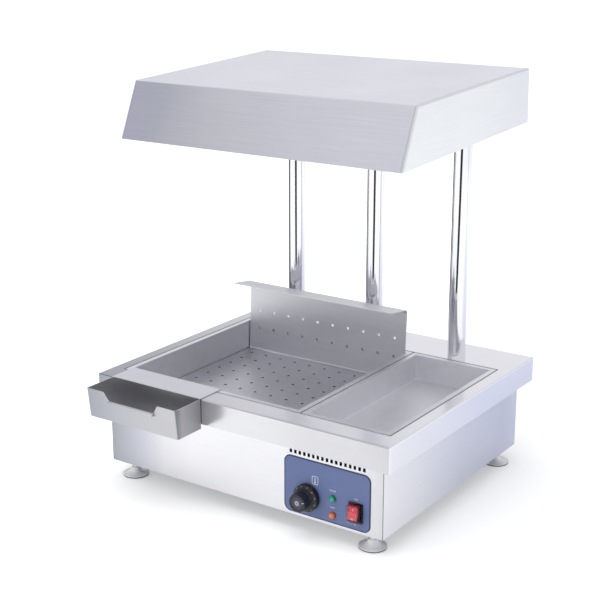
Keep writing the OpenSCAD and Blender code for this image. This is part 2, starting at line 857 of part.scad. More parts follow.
// Glass reflector bulb: neck, flare, broad rim and a shallow round face, hanging below its cap
module lamp(s) {
    glass_l = lamp_l - cap_h;
    face_h = lamp_face_r - sqrt(lamp_face_r * lamp_face_r - lamp_d * lamp_d / 4);
    neck_h = glass_l - lamp_rim - face_h;
    color("wheat")
        translate([s * lamp_pitch / 2, lamp_y, lamp_top - cap_h]) {
            translate([0, 0, -neck_h]) cylinder(h = neck_h, d1 = lamp_d - 14, d2 = cap_d - 1);
            translate([0, 0, -neck_h - lamp_rim / 2])
                cylinder(h = lamp_rim / 2, d1 = lamp_d, d2 = lamp_d - 14);
            translate([0, 0, -neck_h - lamp_rim]) cylinder(h = lamp_rim / 2, d = lamp_d);
            intersection() {
                translate([0, 0, -glass_l + lamp_face_r]) sphere(r = lamp_face_r, $fn = 128);
                translate([0, 0, -glass_l]) cylinder(h = face_h, d = lamp_d);
            }
        }
}

module lamp_left() { lamp(-1); }
module lamp_right() { lamp(1); }

// Pan with a flat rim that lies level with the deck
module pan(x, w, h) {
    in_w = w - 2 * pan_rim;
    in_d = pan_d - 2 * pan_rim;
    color("silver")
        translate([x, open_y, deck_z])
            difference() {
                union() {
                    translate([0, 0, -pan_t]) linear_extrude(pan_t) rounded(w, pan_d, 2);
                    mirror([0, 0, 1]) soft_block(in_w + 2 * pan_t, in_d + 2 * pan_t, h, pan_r);
                }
                translate([0, 0, over]) mirror([0, 0, 1])
                    soft_block(in_w, in_d, h - pan_t + over, pan_r - pan_t);
            }
}

module large_pan() { pan(large_x, large_pan_w, large_pan_h); }
module small_pan() { pan(small_x, small_pan_w, small_pan_h); }

// Ring sector of sheet in the plane: outer radius r, from angle 0 to angle a
module bend(r, t, a) {
    b = abs(a);
    s = sign(a);
    reach = 3 * r;
    intersection() {
        difference() {
            circle(r);
            circle(r - t);
        }
        polygon([[0, 0], [reach, 0], [reach * cos(b / 2), s * reach * sin(b / 2)],
            [reach * cos(b), s * reach * sin(b)]]);
    }
}

// Side view of the guard: foot leg, drain floor, upright, and handle flange
module guard_profile() {
    turn = 90 + guard_lean - guard_rise;
    back = 90 - guard_lean;
    rotate(-guard_lean) {
        translate([-guard_t, 0]) square([guard_t, guard_up]);
        translate([-guard_r, guard_up]) {
            bend(guard_r, guard_t, turn);
            rotate(turn) translate([guard_r - guard_t, 0]) square([guard_t, guard_flange]);
        }
        translate([-guard_foot_r, 0]) {
            bend(guard_foot_r, guard_t, -back);
            rotate(-back) translate([guard_foot_r - guard_t, -drain_l]) square([guard_t, drain_l]);
            rotate(-back) translate([guard_foot_r - guard_t, -drain_l])
                square([guard_t + drain_lift - rest_gap, guard_t]);
        }
    }
}

module drain_guard() {
    first = -(drain_columns - 1) / 2;
    color("silver")
        difference() {
            translate([large_x, guard_y, guard_z]) along_x(-guard_w / 2, guard_w / 2) guard_profile();
            translate([large_x, guard_y, guard_z])
                for (k = [0:drain_columns - 1]) {
                    for (row = [0, 1])
                        rotate([-guard_lean, 0, 0])
                            translate([(first + k) * drain_step, over, drain_top_row - row * drain_pitch])
                                rotate([90, 0, 0]) cylinder(h = guard_t + 2 * over, d = drain_d);
                    for (row = [1:drain_floor_rows])
                        translate([(first + k) * drain_step, -guard_foot_r - row * drain_pitch + 14,
                                -guard_foot_r - over])
                            cylinder(h = guard_t + 2 * over, d = drain_d);
                }
        }
}

// Side view of the bin as (y, z), drawn in by the sheet's thickness
module bin_section(inset, up) {
    polygon([
        [bin_front + inset, bin_top + up],
        [bin_front + bin_slope + inset, bin_top - bin_h + inset],
        [bin_rear - inset, bin_top - bin_h + inset],
        [bin_rear - inset, bin_top + up]
    ]);
}

// The bin's body with round front corners, drawn in by the sheet's thickness
module bin_body(inset, up) {
    w = bin_w - 2 * inset;
    lean = atan(bin_slope / bin_h);
    intersection() {
        along_x(bin_x - w / 2, bin_x + w / 2) bin_section(inset, up);
        translate([bin_x, bin_front, bin_top]) rotate([lean, 0, 0])
            translate([0, bin_out + inset, -2 * bin_h])
                linear_extrude(3 * bin_h) rounded(w, 2 * bin_out, bin_r - inset);
    }
}

module bin_shell() {
    dip_z = bin_top - dip_h;
    dip_y = bin_front + bin_slope * dip_h / bin_h;
    color("silver")
        difference() {
            union() {
                bin_body(0, 0);
                block([bin_x - dip_w / 2, bin_front - lip_out, dip_z - 1.2],
                    [bin_x + dip_w / 2, dip_y + sheet_t / 2, dip_z]);
                block([bin_x - dip_w / 2, bin_front - lip_out, dip_z - 7],
                    [bin_x + dip_w / 2, bin_front - lip_out + 1, dip_z]);
            }
            bin_body(sheet_t, over);
            translate([bin_x, bin_front + bin_slope + 2 * sheet_t, 0]) rotate([90, 0, 0])
                linear_extrude(bin_slope + 3 * sheet_t)
                    polygon([
                        [-dip_w / 2, dip_z], [dip_w / 2, dip_z],
                        [dip_w / 2 + dip_run, bin_top + eps], [dip_w / 2 + dip_run, bin_top + over],
                        [-dip_w / 2 - dip_run, bin_top + over], [-dip_w / 2 - dip_run, bin_top + eps]
                    ]);
        }
}

// Plate that lies over the deck's front edge and hooks down inside the large pan
module bin_hanger() {
    color("silver")
        along_x(bin_x - bin_w / 2, bin_x + bin_w / 2) {
            translate([bin_rear - sheet_t, bin_top]) square([hook_y - bin_rear + sheet_t, sheet_t]);
            translate([hook_y - sheet_t, bin_top - hook_h]) square([sheet_t, hook_h + sheet_t]);
        }
}

module control_overlay() {
    color("slateblue")
        difference() {
            facing_front(overlay_x, body_y0, overlay_z)
                linear_extrude(overlay_t) rounded(overlay_w, overlay_h, overlay_r);
            control_cuts(face_y - over, body_y0 + over);
        }
}

// Thermostat behind the front panel; its bush comes through and carries the shaft
module thermostat() {
    color("dimgray")
        difference() {
            union() {
                block([knob_x - thermo_w / 2, in_y0, knob_z - thermo_h / 2],
                    [knob_x + thermo_w / 2, in_y0 + thermo_t, knob_z + thermo_h / 2]);
                facing_front(knob_x, in_y0 + eps, knob_z)
                    cylinder(h = in_y0 + eps - face_y + bush_out - skirt_gap, d = bush_d);
                for (s = [-1, 1])
                    block([knob_x + s * 12 - 0.4, in_y0 + thermo_t - eps, knob_z - 3],
                        [knob_x + s * 12 + 0.4, in_y0 + thermo_t + 6, knob_z + 3]);
            }
            facing_front(knob_x, in_y0 + shaft_in + fit_gap, knob_z)
                cylinder(h = 60, d = shaft_d + 2 * run_gap);
        }
}

// Sensor along the underside of the well, joined to the thermostat by its thin capillary
module sensor_bulb() {
    bend_r = 6;
    color("peru") {
        translate([sensor_x, sensor_y, sensor_z]) rotate([-90, 0, 0]) cylinder(h = sensor_l, d = sensor_d);
        translate([sensor_x, in_y0 + thermo_t / 2 + bend_r, sensor_z]) rotate([-90, 0, 0])
            cylinder(h = sensor_y - in_y0 - thermo_t / 2 - bend_r + eps, d = capillary_d);
        translate([sensor_x, in_y0 + thermo_t / 2 + bend_r, sensor_z - bend_r])
            rotate([90, 0, 90]) rotate([0, 0, 90])
                rotate_extrude(angle = 90) translate([bend_r, 0]) circle(d = capillary_d);
        translate([sensor_x, in_y0 + thermo_t / 2, knob_z + thermo_h / 2])
            cylinder(h = sensor_z - bend_r - knob_z - thermo_h / 2, d = capillary_d);
    }
}

// Saddles that press the sensor against the well's floor
module sensor_clips() {
    clip_w = sensor_d + 14;
    color("silver")
        for (y = [sensor_y + 18, sensor_y + sensor_l - 18])
            difference() {
                block([sensor_x - clip_w / 2, y - 4, sensor_z - sensor_d / 2 - 1],
                    [sensor_x + clip_w / 2, y + 4, well_z]);
                translate([sensor_x, y - 5, sensor_z]) rotate([-90, 0, 0])
                    cylinder(h = 10, d = sensor_d + fit_gap);
                for (s = [-1, 1])
                    block([sensor_x + s * (sensor_d / 2 + 4.5) - 3.5, y - 5, sensor_z - sensor_d],
                        [sensor_x + s * (sensor_d / 2 + 4.5) + 3.5, y + 5, well_z - 1]);
            }
}

module thermostat_shaft() {
    flat_l = 12;
    color("lightgray")
        difference() {
            facing_front(knob_x, in_y0 + shaft_in, knob_z)
                cylinder(h = in_y0 + shaft_in - face_y + shaft_out, d = shaft_d);
            block([knob_x - shaft_d, face_y - shaft_out - over, knob_z + shaft_d / 2 - 1],
                [knob_x + shaft_d, face_y - shaft_out + flat_l, knob_z + shaft_d]);
        }
}

// Tube through a list of straight runs that turn through right angles, with a ball at each corner
module lead(points, d) {
    for (k = [0:len(points) - 2]) {
        run = points[k + 1] - points[k];
        tip = run[2] < 0 ? 180 : -90 * sign(run[1]);
        translate(points[k]) rotate([tip, 90 * sign(run[0]), 0]) cylinder(h = norm(run), d = d);
        if (k > 0) translate(points[k]) sphere(d = d);
    }
}

// Lamp lead: from the terminal block up through its post and along the bridge to the lamp holder
module lamp_lead(s) {
    x = s * post_pitch;
    lamp_x = s * lamp_pitch / 2;
    top_z = bridge_z + bridge_t + lead_d / 2 + 1;
    color("ivory")
        lead([
            [block_x + s * block_w / 2, post_y, lead_z], [x, post_y, lead_z], [x, post_y, top_z],
            [x, lamp_y, top_z], [lamp_x, lamp_y, top_z], [lamp_x, lamp_y, bridge_z]
        ], lead_d);
}

module lamp_lead_left() { lamp_lead(-1); }
module lamp_lead_right() { lamp_lead(1); }

// Loom from the terminal block to the thermostat
module control_loom() {
    rise_y = in_y0 + thermo_t + 40;
    loom_z = knob_z + 10;
    color("dimgray")
        lead([
            [block_x, post_y - block_d / 2, lead_z], [block_x, rise_y, lead_z], [loom_x, rise_y, lead_z],
            [loom_x, rise_y, loom_z], [loom_x, in_y0 + thermo_t, loom_z]
        ], loom_d);
}

// Printed skirt of the dial, with a coned face
module dial_skirt() {
    cone = 3;
    color("black")
        facing_front(knob_x, face_y - skirt_gap, knob_z)
            difference() {
                union() {
                    cylinder(h = dial_t - cone, d = dial_d);
                    translate([0, 0, dial_t - cone]) cylinder(h = cone, d1 = dial_d, d2 = dial_d - 9);
                }
                translate([0, 0, -over]) cylinder(h = dial_t + 2 * over, d = grip_d - 6);
            }
}

// Grip of the knob: a fluted drum whose sleeve runs through the skirt, with a dished end
module knob_grip() {
    flutes = 18;
    collar_h = 5;
    sleeve_d = grip_d - 6 - fit_gap;
    drum_h = knob_out - skirt_gap - dial_t;
    wall_in = 2;
    color("black")
        facing_front(knob_x, face_y - skirt_gap, knob_z)
            difference() {
                union() {
                    cylinder(h = dial_t + eps, d = sleeve_d);
                    translate([0, 0, dial_t]) cylinder(h = drum_h - 1, d = grip_d);
                    translate([0, 0, dial_t]) cylinder(h = collar_h, d1 = grip_d + 5, d2 = grip_d + 1);
                    translate([0, 0, dial_t + drum_h - 1]) cylinder(h = 1, d1 = grip_d, d2 = grip_d - 2);
                }
                for (k = [0:flutes - 1])
                    rotate([0, 0, k * 360 / flutes]) translate([grip_d / 2 + 0.7, 0, dial_t + collar_h + 1])
                        cylinder(h = drum_h + over, r = 1.4);
                translate([0, 0, dial_t + drum_h - 1.6]) cylinder(h = 2 * over + 1, d = grip_d - 10);
                translate([0, 0, -over]) cylinder(h = bush_out + 2 * over, d = bush_d + 2 * fit_gap);
                translate([0, 0, -over])
                    cylinder(h = shaft_out + over - skirt_gap + wall_in / 2, d = shaft_d + 2 * run_gap);
            }
}

// Pilot lamp: domed lens with a rim in front of the overlay and a barrel through the panel
module pilot(z, tint) {
    rim_h = 1.6;
    dome_r = pilot_d * 0.55;
    color(tint)
        facing_front(pilot_x, face_y, z) {
            cylinder(h = rim_h, d = pilot_d);
            intersection() {
                translate([0, 0, rim_h - 2]) sphere(r = dome_r);
                cylinder(h = dome_r + rim_h, d = pilot_d - 2);
            }
            translate([0, 0, -overlay_t - wall_t - pilot_body_l])
                cylinder(h = overlay_t + wall_t + pilot_body_l + eps, d = pilot_body_d);
        }
}

module pilot_green() { pilot(pilot_high, "seagreen"); }
module pilot_orange() { pilot(pilot_low, "darkorange"); }

module pilot_nuts() {
    color("silver")
        for (z = [pilot_low, pilot_high])
            facing_front(pilot_x, in_y0 + 4, z)
                difference() {
                    hex(pilot_nut_af, 4);
                    translate([0, 0, -over]) cylinder(h = 4 + 2 * over, d = pilot_body_d + 2 * run_gap);
                }
}

// Switch housing: bezel, hollow body and two bores for the rocker's pins
module switch_housing() {
    window_h = 2 * rocker_r + 0.6;
    back_y = in_y0 + switch_body_l;
    color("black")
        difference() {
            union() {
                facing_front(switch_x, face_y, switch_z)
                    linear_extrude(bezel_t) rounded(switch_w, switch_h, 2);
                block([switch_x - switch_body_w / 2, face_y - eps, switch_z - switch_body_h / 2],
                    [switch_x + switch_body_w / 2, back_y, switch_z + switch_body_h / 2]);
                for (k = [-1:1])
                    block([switch_x - 2.4, back_y - eps, switch_z + k * 8 - 0.4],
                        [switch_x + 2.4, back_y + 5, switch_z + k * 8 + 0.4]);
            }
            block([switch_x - rocker_w / 2 - 0.3, face_y - bezel_t - over, switch_z - window_h / 2],
                [switch_x + rocker_w / 2 + 0.3, in_y0 + 14, switch_z + window_h / 2]);
            translate([switch_x - rocker_w / 2 - 1.3, pivot_y, switch_z]) rotate([0, 90, 0])
                cylinder(h = rocker_w + 2.6, r = rocker_pin + run_gap);
        }
}

// Rocker on its pins, tilted as it stands when the warmer is on
module rocker() {
    front = 14;
    valley = 11.5;
    back = 4;
    neck = 6;
    reach = rocker_r + over;
    color("red")
        translate([switch_x, pivot_y, switch_z]) rotate([-rocker_tilt, 0, 0]) {
            along_x(-rocker_w / 2, rocker_w / 2) {
                intersection() {
                    circle(rocker_r);
                    translate([-neck, -reach]) square([neck + back, 2 * reach]);
                }
                polygon([[eps - neck, -12], [eps - neck, 12], [-front, 10.5], [-valley, 0], [-front, -10.5]]);
            }
            translate([-rocker_w / 2 - 1, 0, 0]) rotate([0, 90, 0])
                cylinder(h = rocker_w + 2, r = rocker_pin);
        }
}

// Clear splash cover: a soft moulded cap on the switch's bezel, pressed through to rock the switch
module switch_cover() {
    color("mistyrose")
        facing_front(switch_x, face_y - bezel_t, switch_z)
            difference() {
                soft_block(cover_w, cover_h, cover_out, cover_r);
                translate([0, 0, -over])
                    soft_block(cover_w - 2 * cover_wall, cover_h - 2 * cover_wall,
                        cover_out - cover_wall + over, cover_r - cover_wall);
            }
}

module terminal_block() {
    color("ivory")
        translate([block_x, post_y, foot_h + wall_t])
            difference() {
                union() {
                    translate([-block_w / 2, -block_d / 2, 0]) cube([block_w, block_d, 10]);
                    translate([-block_w / 2, -block_d / 4, 0]) cube([block_w, block_d / 2, 18]);
                }
                for (k = [0:poles - 1])
                    translate([(k - (poles - 1) / 2) * block_w / poles, 0, 10]) cylinder(h = 10, d = 5);
            }
}

// Cable gland through the rear panel; its bore is open from end to end
module cable_gland() {
    color("dimgray")
        translate([gland_x, body_y1, gland_z]) rotate([-90, 0, 0])
            difference() {
                union() {
                    hex(gland_af, 6);
                    translate([0, 0, 6 - eps]) cylinder(h = gland_head - 10, d = gland_d + 1);
                    translate([0, 0, gland_head - 4 - eps])
                        cylinder(h = 4, d1 = gland_d + 1, d2 = gland_d - 5);
                    translate([0, 0, -wall_t - gland_tail])
                        cylinder(h = wall_t + gland_tail + eps, d = gland_d);
                }
                translate([0, 0, -wall_t - gland_tail - over])
                    cylinder(h = wall_t + gland_tail + gland_head + 2 * over, d = gland_bore);
            }
}

module gland_nut() {
    nut_t = 5;
    color("dimgray")
        translate([gland_x, in_y1 - nut_t, gland_z]) rotate([-90, 0, 0])
            difference() {
                hex(gland_af + 2, nut_t);
                translate([0, 0, -over]) cylinder(h = nut_t + 2 * over, d = gland_d + 2 * run_gap);
            }
}

// Screw-in foot: flat disc, dished dome and a stud that runs up through its nut
module foot(place) {
    dome_w = foot_d / 2 - 2;
    dish_w = dome_w - neck_d / 2;
    dish_r = (dish_w * dish_w + dome_h * dome_h) / (2 * dome_h);
    color("whitesmoke")
        translate([place[0], place[1], 0])
            rotate_extrude()
                difference() {
                    union() {
                        square([foot_d / 2, disc_t]);
                        square([dome_w, disc_t + dome_h]);
                        square([stud_d / 2, stud_top]);
                    }
                    translate([dome_w + eps, disc_t + dome_h + eps])
                        intersection() {
                            translate([0, dish_r - dome_h]) circle(dish_r, $fn = 96);
                            translate([-dish_w, -dome_h]) square([dish_w, dome_h]);
                        }
                }
}

module foot_front_left() { foot(foot_places[0]); }
module foot_front_right() { foot(foot_places[1]); }
module foot_rear_left() { foot(foot_places[2]); }
module foot_rear_right() { foot(foot_places[3]); }

module foot_nuts() {
    color("silver")
        for (p = foot_places)
            translate([p[0], p[1], foot_h + wall_t])
                difference() {
                    hex(foot_nut_af, foot_nut_h);
                    translate([0, 0, -over]) cylinder(h = foot_nut_h + 2 * over, d = stud_d + 2 * run_gap);
                }
}

module body_screws() {
    color("silver")
        for (p = rear_screws) translate([p[0], body_y1, p[1]]) rotate([-90, 0, 0]) pan_screw();
}

module hood_screws() {
    color("silver")
        in_hood()
            for (s = [-1, 1], z = hood_screw_rows)
                translate([s * (hood_in - return_w / 2), 0, z]) rotate([-90, 0, 0]) pan_screw();
}

base_plate();
front_panel();
left_panel();
right_panel();
rear_panel();
top_frame();
pan_ledge();
divider_bar();
heated_well();
heating_element();
element_clips();
post_rail();
post_left();
post_centre();
post_right();
post_lower_nuts();
post_upper_nuts();
hood_skin();
hood_left_side();
hood_right_side();
hood_rear();
hood_rail();
lamp_bridge();
lamp_holder_left();
lamp_holder_right();
lamp_left();
lamp_right();
lamp_caps();
large_pan();
small_pan();
drain_guard();
bin_shell();
bin_hanger();
control_overlay();
thermostat();
sensor_bulb();
sensor_clips();
thermostat_shaft();
dial_skirt();
knob_grip();
pilot_green();
pilot_orange();
pilot_nuts();
switch_housing();
rocker();
switch_cover();
terminal_block();
lamp_lead_left();
lamp_lead_right();
control_loom();
cable_gland();
gland_nut();
foot_front_left();
foot_front_right();
foot_rear_left();
foot_rear_right();
foot_nuts();
body_screws();
hood_screws();
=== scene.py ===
import math

import bmesh
import bpy
from mathutils import Matrix, Vector


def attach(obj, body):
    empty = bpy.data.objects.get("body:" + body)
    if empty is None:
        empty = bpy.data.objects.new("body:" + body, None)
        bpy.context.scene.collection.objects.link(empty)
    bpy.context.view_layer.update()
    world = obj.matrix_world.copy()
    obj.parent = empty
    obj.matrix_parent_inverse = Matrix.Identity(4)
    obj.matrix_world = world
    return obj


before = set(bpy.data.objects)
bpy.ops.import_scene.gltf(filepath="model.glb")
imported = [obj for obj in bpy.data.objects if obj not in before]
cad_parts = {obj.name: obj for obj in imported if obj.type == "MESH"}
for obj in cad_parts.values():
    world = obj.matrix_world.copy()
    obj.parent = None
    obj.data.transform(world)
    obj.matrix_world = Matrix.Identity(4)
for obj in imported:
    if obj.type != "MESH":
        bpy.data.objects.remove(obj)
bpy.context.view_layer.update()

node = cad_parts

# Camera: it stands to the right of the front and looks down on the deck, as the photograph does.
# The lens is a short telephoto, so the hood and the body keep nearly parallel sides.
camera = bpy.data.objects.new("camera", bpy.data.cameras.new("camera"))
camera.data.lens = 77.84
camera.data.sensor_width = 36
camera.data.clip_end = 200
camera.location = (1.1836, -1.7474, 0.9393)
camera.rotation_euler = (math.radians(73.503), 0, math.radians(34.531))
bpy.context.scene.collection.objects.link(camera)
bpy.context.scene.camera = camera
bpy.context.scene.view_settings.view_transform = "Standard"


# Studio: a white dome, greyer at its top, and dark sheets that lie round the object on the floor
# and give the chrome its dark lines. Only metal and glass see the sheets and the greyer top; the
# camera sees plain white, and the other rays get an even pale level with three soft lamps.
def linear(r, g, b):
    """A colour written as it is seen, from 0 to 255, as the linear colour that a socket takes."""
    return tuple(((c / 255 + 0.055) / 1.055) ** 2.4 if c > 10 else c / 3294.6 for c in (r, g, b)) + (1,)


def colour_ramp(tree, value, stops):
    """A colour ramp on value, with stops as (position, grey level or colour)."""
    ramp = tree.nodes.new("ShaderNodeValToRGB")
    while len(ramp.color_ramp.elements) < len(stops):
        ramp.color_ramp.elements.new(0.5)
    for element, (place, colour) in zip(ramp.color_ramp.elements, stops):
        element.position = place
        element.color = colour if isinstance(colour, tuple) else (colour, colour, colour, 1)
    tree.links.new(value, ramp.inputs["Fac"])
    return ramp.outputs["Color"]


def maths(tree, operation, *values):
    """A Math node whose inputs are numbers or other sockets."""
    maths_node = tree.nodes.new("ShaderNodeMath")
    maths_node.operation = operation
    for socket, value in zip(maths_node.inputs, values):
        if isinstance(value, bpy.types.NodeSocket):
            tree.links.new(value, socket)
        else:
            socket.default_value = value
    return maths_node.outputs[0]


def tinted(tree, first, second):
    """Two colours or greys multiplied."""
    mix = tree.nodes.new("ShaderNodeMix")
    mix.data_type = "RGBA"
    mix.blend_type = "MULTIPLY"
    mix.inputs["Factor"].default_value = 1
    tree.links.new(first, mix.inputs["A"])
    tree.links.new(second, mix.inputs["B"])
    return mix.outputs["Result"]


flags_group = bpy.data.node_groups.new("studio_flags", "ShaderNodeTree")
flags_group.interface.new_socket("Way", in_out="INPUT", socket_type="NodeSocketVector")
flags_group.interface.new_socket("Light", in_out="OUTPUT", socket_type="NodeSocketColor")
flags_in = flags_group.nodes.new("NodeGroupInput")
flags_out = flags_group.nodes.new("NodeGroupOutput")
way = flags_group.nodes.new("ShaderNodeSeparateXYZ")
flags_group.links.new(flags_in.outputs["Way"], way.inputs[0])
turn = maths(flags_group, "ARCTAN2", way.outputs["Y"], way.outputs["X"])
turn = maths(flags_group, "MULTIPLY_ADD", turn, 0.5 / math.pi, 0.5)
flags = colour_ramp(flags_group, turn, [
    (0.0, 0.12), (0.012, 0.12), (0.022, 0.9), (0.238, 0.9),
    (0.25, 0.03), (0.318, 0.03), (0.33, 1.0), (0.82, 1.0), (0.84, 0.12)])
far = flags_group.nodes.new("ShaderNodeVectorMath")
far.operation = "LENGTH"
flags_group.links.new(flags_in.outputs["Way"], far.inputs[0])
stand = flags_group.nodes.new("ShaderNodeMapRange")
stand.inputs["From Min"].default_value = 0.6
stand.inputs["From Max"].default_value = 0.85
flags_group.links.new(far.outputs["Value"], stand.inputs["Value"])
flags_mix = flags_group.nodes.new("ShaderNodeMix")
flags_mix.data_type = "RGBA"
flags_mix.inputs["A"].default_value = (1, 1, 1, 1)
flags_group.links.new(stand.outputs["Result"], flags_mix.inputs["Factor"])
flags_group.links.new(flags, flags_mix.inputs["B"])
flags_group.links.new(flags_mix.outputs["Result"], flags_out.inputs["Light"])


def seen(tree, kind):
    """1 for rays of that kind."""
    return tree.nodes.new("ShaderNodeLightPath").outputs[kind]


def shown_level(tree, glossy):
    """White for the camera, and the colour glossy for metal and glass."""
    mix = tree.nodes.new("ShaderNodeMix")
    mix.data_type = "RGBA"
    tree.links.new(seen(tree, "Is Camera Ray"), mix.inputs["Factor"])
    tree.links.new(glossy, mix.inputs["A"])
    mix.inputs["B"].default_value = (1, 1, 1, 1)
    return mix.outputs["Result"]


def any_sight(tree):
    """1 for rays from the camera, from metal and from glass, and 0 for the rays that carry diffuse light."""
    both = maths(tree, "MAXIMUM", seen(tree, "Is Camera Ray"), seen(tree, "Is Glossy Ray"))
    return maths(tree, "MAXIMUM", both, seen(tree, "Is Transmission Ray"))


world = bpy.data.worlds.new("studio")
bpy.context.scene.world = world
world.use_nodes = True
sky = world.node_tree
sky.nodes.clear()
direction = sky.nodes.new("ShaderNodeTexCoord").outputs["Generated"]
split = sky.nodes.new("ShaderNodeSeparateXYZ")
sky.links.new(direction, split.inputs[0])
dome = colour_ramp(sky, split.outputs["Z"], [
    (0.0, 1.0), (0.12, 1.0), (0.4, (0.8, 0.8, 0.84, 1)), (1.0, (0.84, 0.85, 0.88, 1))])
lean = maths(sky, "MULTIPLY_ADD", split.outputs["Y"], 0.5, 1)
lean = maths(sky, "MULTIPLY_ADD", split.outputs["X"], 0.9, lean)
front = colour_ramp(sky, lean, [(0.08, 0.64), (0.2, 0.86), (0.55, 1.0)])
rise = colour_ramp(sky, split.outputs["Z"], [(0.1, 0.0), (0.3, 1.0)])
front_mix = sky.nodes.new("ShaderNodeMix")
front_mix.data_type = "RGBA"
front_mix.inputs["A"].default_value = (1, 1, 1, 1)
sky.links.new(rise, front_mix.inputs["Factor"])
sky.links.new(front, front_mix.inputs["B"])
gloss_sky = sky.nodes.new("ShaderNodeBackground")
sky.links.new(shown_level(sky, tinted(sky, dome, front_mix.outputs["Result"])), gloss_sky.inputs["Color"])
plain_sky = sky.nodes.new("ShaderNodeBackground")
plain_sky.inputs["Color"].default_value = (0.96, 0.97, 1.0, 1)
plain_sky.inputs["Strength"].default_value = 0.66
pick = sky.nodes.new("ShaderNodeMixShader")
sky.links.new(any_sight(sky), pick.inputs[0])
sky.links.new(plain_sky.outputs[0], pick.inputs[1])
sky.links.new(gloss_sky.outputs[0], pick.inputs[2])
sky_out = sky.nodes.new("ShaderNodeOutputWorld")
sky.links.new(pick.outputs[0], sky_out.inputs["Surface"])


def soft_lamp(name, place, aim, width, height, power, tint=(1, 1, 1)):
    """A rectangular soft lamp at place, facing aim. It isn't seen, also not in the steel."""
    data = bpy.data.lights.new(name, "AREA")
    data.shape = "RECTANGLE"
    data.size, data.size_y = width, height
    data.energy = power
    data.color = tint
    lamp = bpy.data.objects.new(name, data)
    lamp.location = place
    lamp.rotation_euler = (Vector(aim) - Vector(place)).to_track_quat("-Z", "Y").to_euler()
    lamp.visible_camera = False
    lamp.visible_glossy = False
    bpy.context.scene.collection.objects.link(lamp)


soft_lamp("overhead", (-0.3, -0.4, 2.6), (0, 0, 0.3), 2.4, 2.4, 40)
soft_lamp("front_left", (-1.6, -2.4, 1.3), (0, 0, 0.2), 1.4, 1.6, 14, (1, 0.985, 0.96))
soft_lamp("right", (2.6, 0.6, 1.1), (0, 0, 0.35), 1.4, 1.8, 7, (0.93, 0.96, 1))

# Floor: a plain white sweep that runs out past every view. Away from the object it glows a little
# for the camera, metal and glass, so that it stays white there and keeps the object's soft shadow.
floor_mesh = bpy.data.meshes.new("floor")
sweep = bmesh.new()
bmesh.ops.create_grid(sweep, x_segments=2, y_segments=2, size=60)
sweep.to_mesh(floor_mesh)
sweep.free()
floor = bpy.data.objects.new("floor", floor_mesh)
floor.location.z = -0.0006
bpy.context.scene.collection.objects.link(floor)
paint = bpy.data.materials.new("floor_paint")
paint.use_nodes = True
tree = paint.node_tree
tree.nodes.clear()
spot = tree.nodes.new("ShaderNodeTexCoord").outputs["Object"]
across_floor = tree.nodes.new("ShaderNodeSeparateXYZ")
tree.links.new(spot, across_floor.inputs[0])
# For metal and glass the floor is painted darker and bluer behind the object, out to about 1.2 m back: a
# painted shade that the steel reflects.
painted_floor_shade = colour_ramp(tree, maths(tree, "MULTIPLY", across_floor.outputs["Y"], 0.5), [
    (0.0, 1.0), (0.12, (0.9, 0.91, 0.96, 1)), (0.25, (0.76, 0.78, 0.88, 1)),
    (0.4, (0.76, 0.78, 0.88, 1)), (0.6, 1.0)])
dark_bands = tree.nodes.new("ShaderNodeGroup")
dark_bands.node_tree = flags_group
tree.links.new(spot, dark_bands.inputs["Way"])
shown = shown_level(tree, tinted(tree, painted_floor_shade, dark_bands.outputs["Light"]))
coat = tree.nodes.new("ShaderNodeMix")
coat.data_type = "RGBA"
coat.inputs["A"].default_value = (1, 1, 1, 1)
tree.links.new(any_sight(tree), coat.inputs["Factor"])
tree.links.new(shown, coat.inputs["B"])
white = tree.nodes.new("ShaderNodeRGB")
white.outputs[0].default_value = (0.86, 0.86, 0.86, 1)
matt = tree.nodes.new("ShaderNodeBsdfDiffuse")
tree.links.new(tinted(tree, white.outputs[0], coat.outputs["Result"]), matt.inputs["Color"])
away = tree.nodes.new("ShaderNodeVectorMath")
away.operation = "LENGTH"
tree.links.new(spot, away.inputs[0])
glow = colour_ramp(tree, maths(tree, "DIVIDE", away.outputs["Value"], 4), [(0.1, 0.16), (0.5, 0.5)])
lift = tree.nodes.new("ShaderNodeEmission")
tree.links.new(shown, lift.inputs["Color"])
glow = maths(tree, "ADD", glow, maths(tree, "MULTIPLY", seen(tree, "Is Camera Ray"), 0.14))
tree.links.new(maths(tree, "MULTIPLY", glow, any_sight(tree)), lift.inputs["Strength"])
both = tree.nodes.new("ShaderNodeAddShader")
tree.links.new(matt.outputs[0], both.inputs[0])
tree.links.new(lift.outputs[0], both.inputs[1])
floor_out = tree.nodes.new("ShaderNodeOutputMaterial")
tree.links.new(both.outputs[0], floor_out.inputs["Surface"])
floor_mesh.materials.append(paint)

# Body and top frame: folded stainless sheet with a fine brushed finish, its grain along each
# panel. The deck is one pressing with a bent skirt, and the body's panels stand inside it. Runs of
# tone along a panel are painted reflections and painted shade, for the darker and lighter things round it,
# which the studio lacks.
grain_group = bpy.data.node_groups.new("brushed_grain", "ShaderNodeTree")
grain_group.interface.new_socket("Place", in_out="INPUT", socket_type="NodeSocketVector")
grain_group.interface.new_socket("Stretch", in_out="INPUT", socket_type="NodeSocketVector")
grain_group.interface.new_socket("Streaks", in_out="OUTPUT", socket_type="NodeSocketFloat")
grain_group.interface.new_socket("Clouds", in_out="OUTPUT", socket_type="NodeSocketFloat")
g_in = grain_group.nodes.new("NodeGroupInput")
g_out = grain_group.nodes.new("NodeGroupOutput")
stretch = grain_group.nodes.new("ShaderNodeVectorMath")
stretch.operation = "MULTIPLY"
grain_group.links.new(g_in.outputs["Place"], stretch.inputs[0])
grain_group.links.new(g_in.outputs["Stretch"], stretch.inputs[1])
streaks = grain_group.nodes.new("ShaderNodeTexNoise")
streaks.inputs["Scale"].default_value = 1
streaks.inputs["Detail"].default_value = 4
streaks.inputs["Roughness"].default_value = 0.7
grain_group.links.new(stretch.outputs[0], streaks.inputs["Vector"])
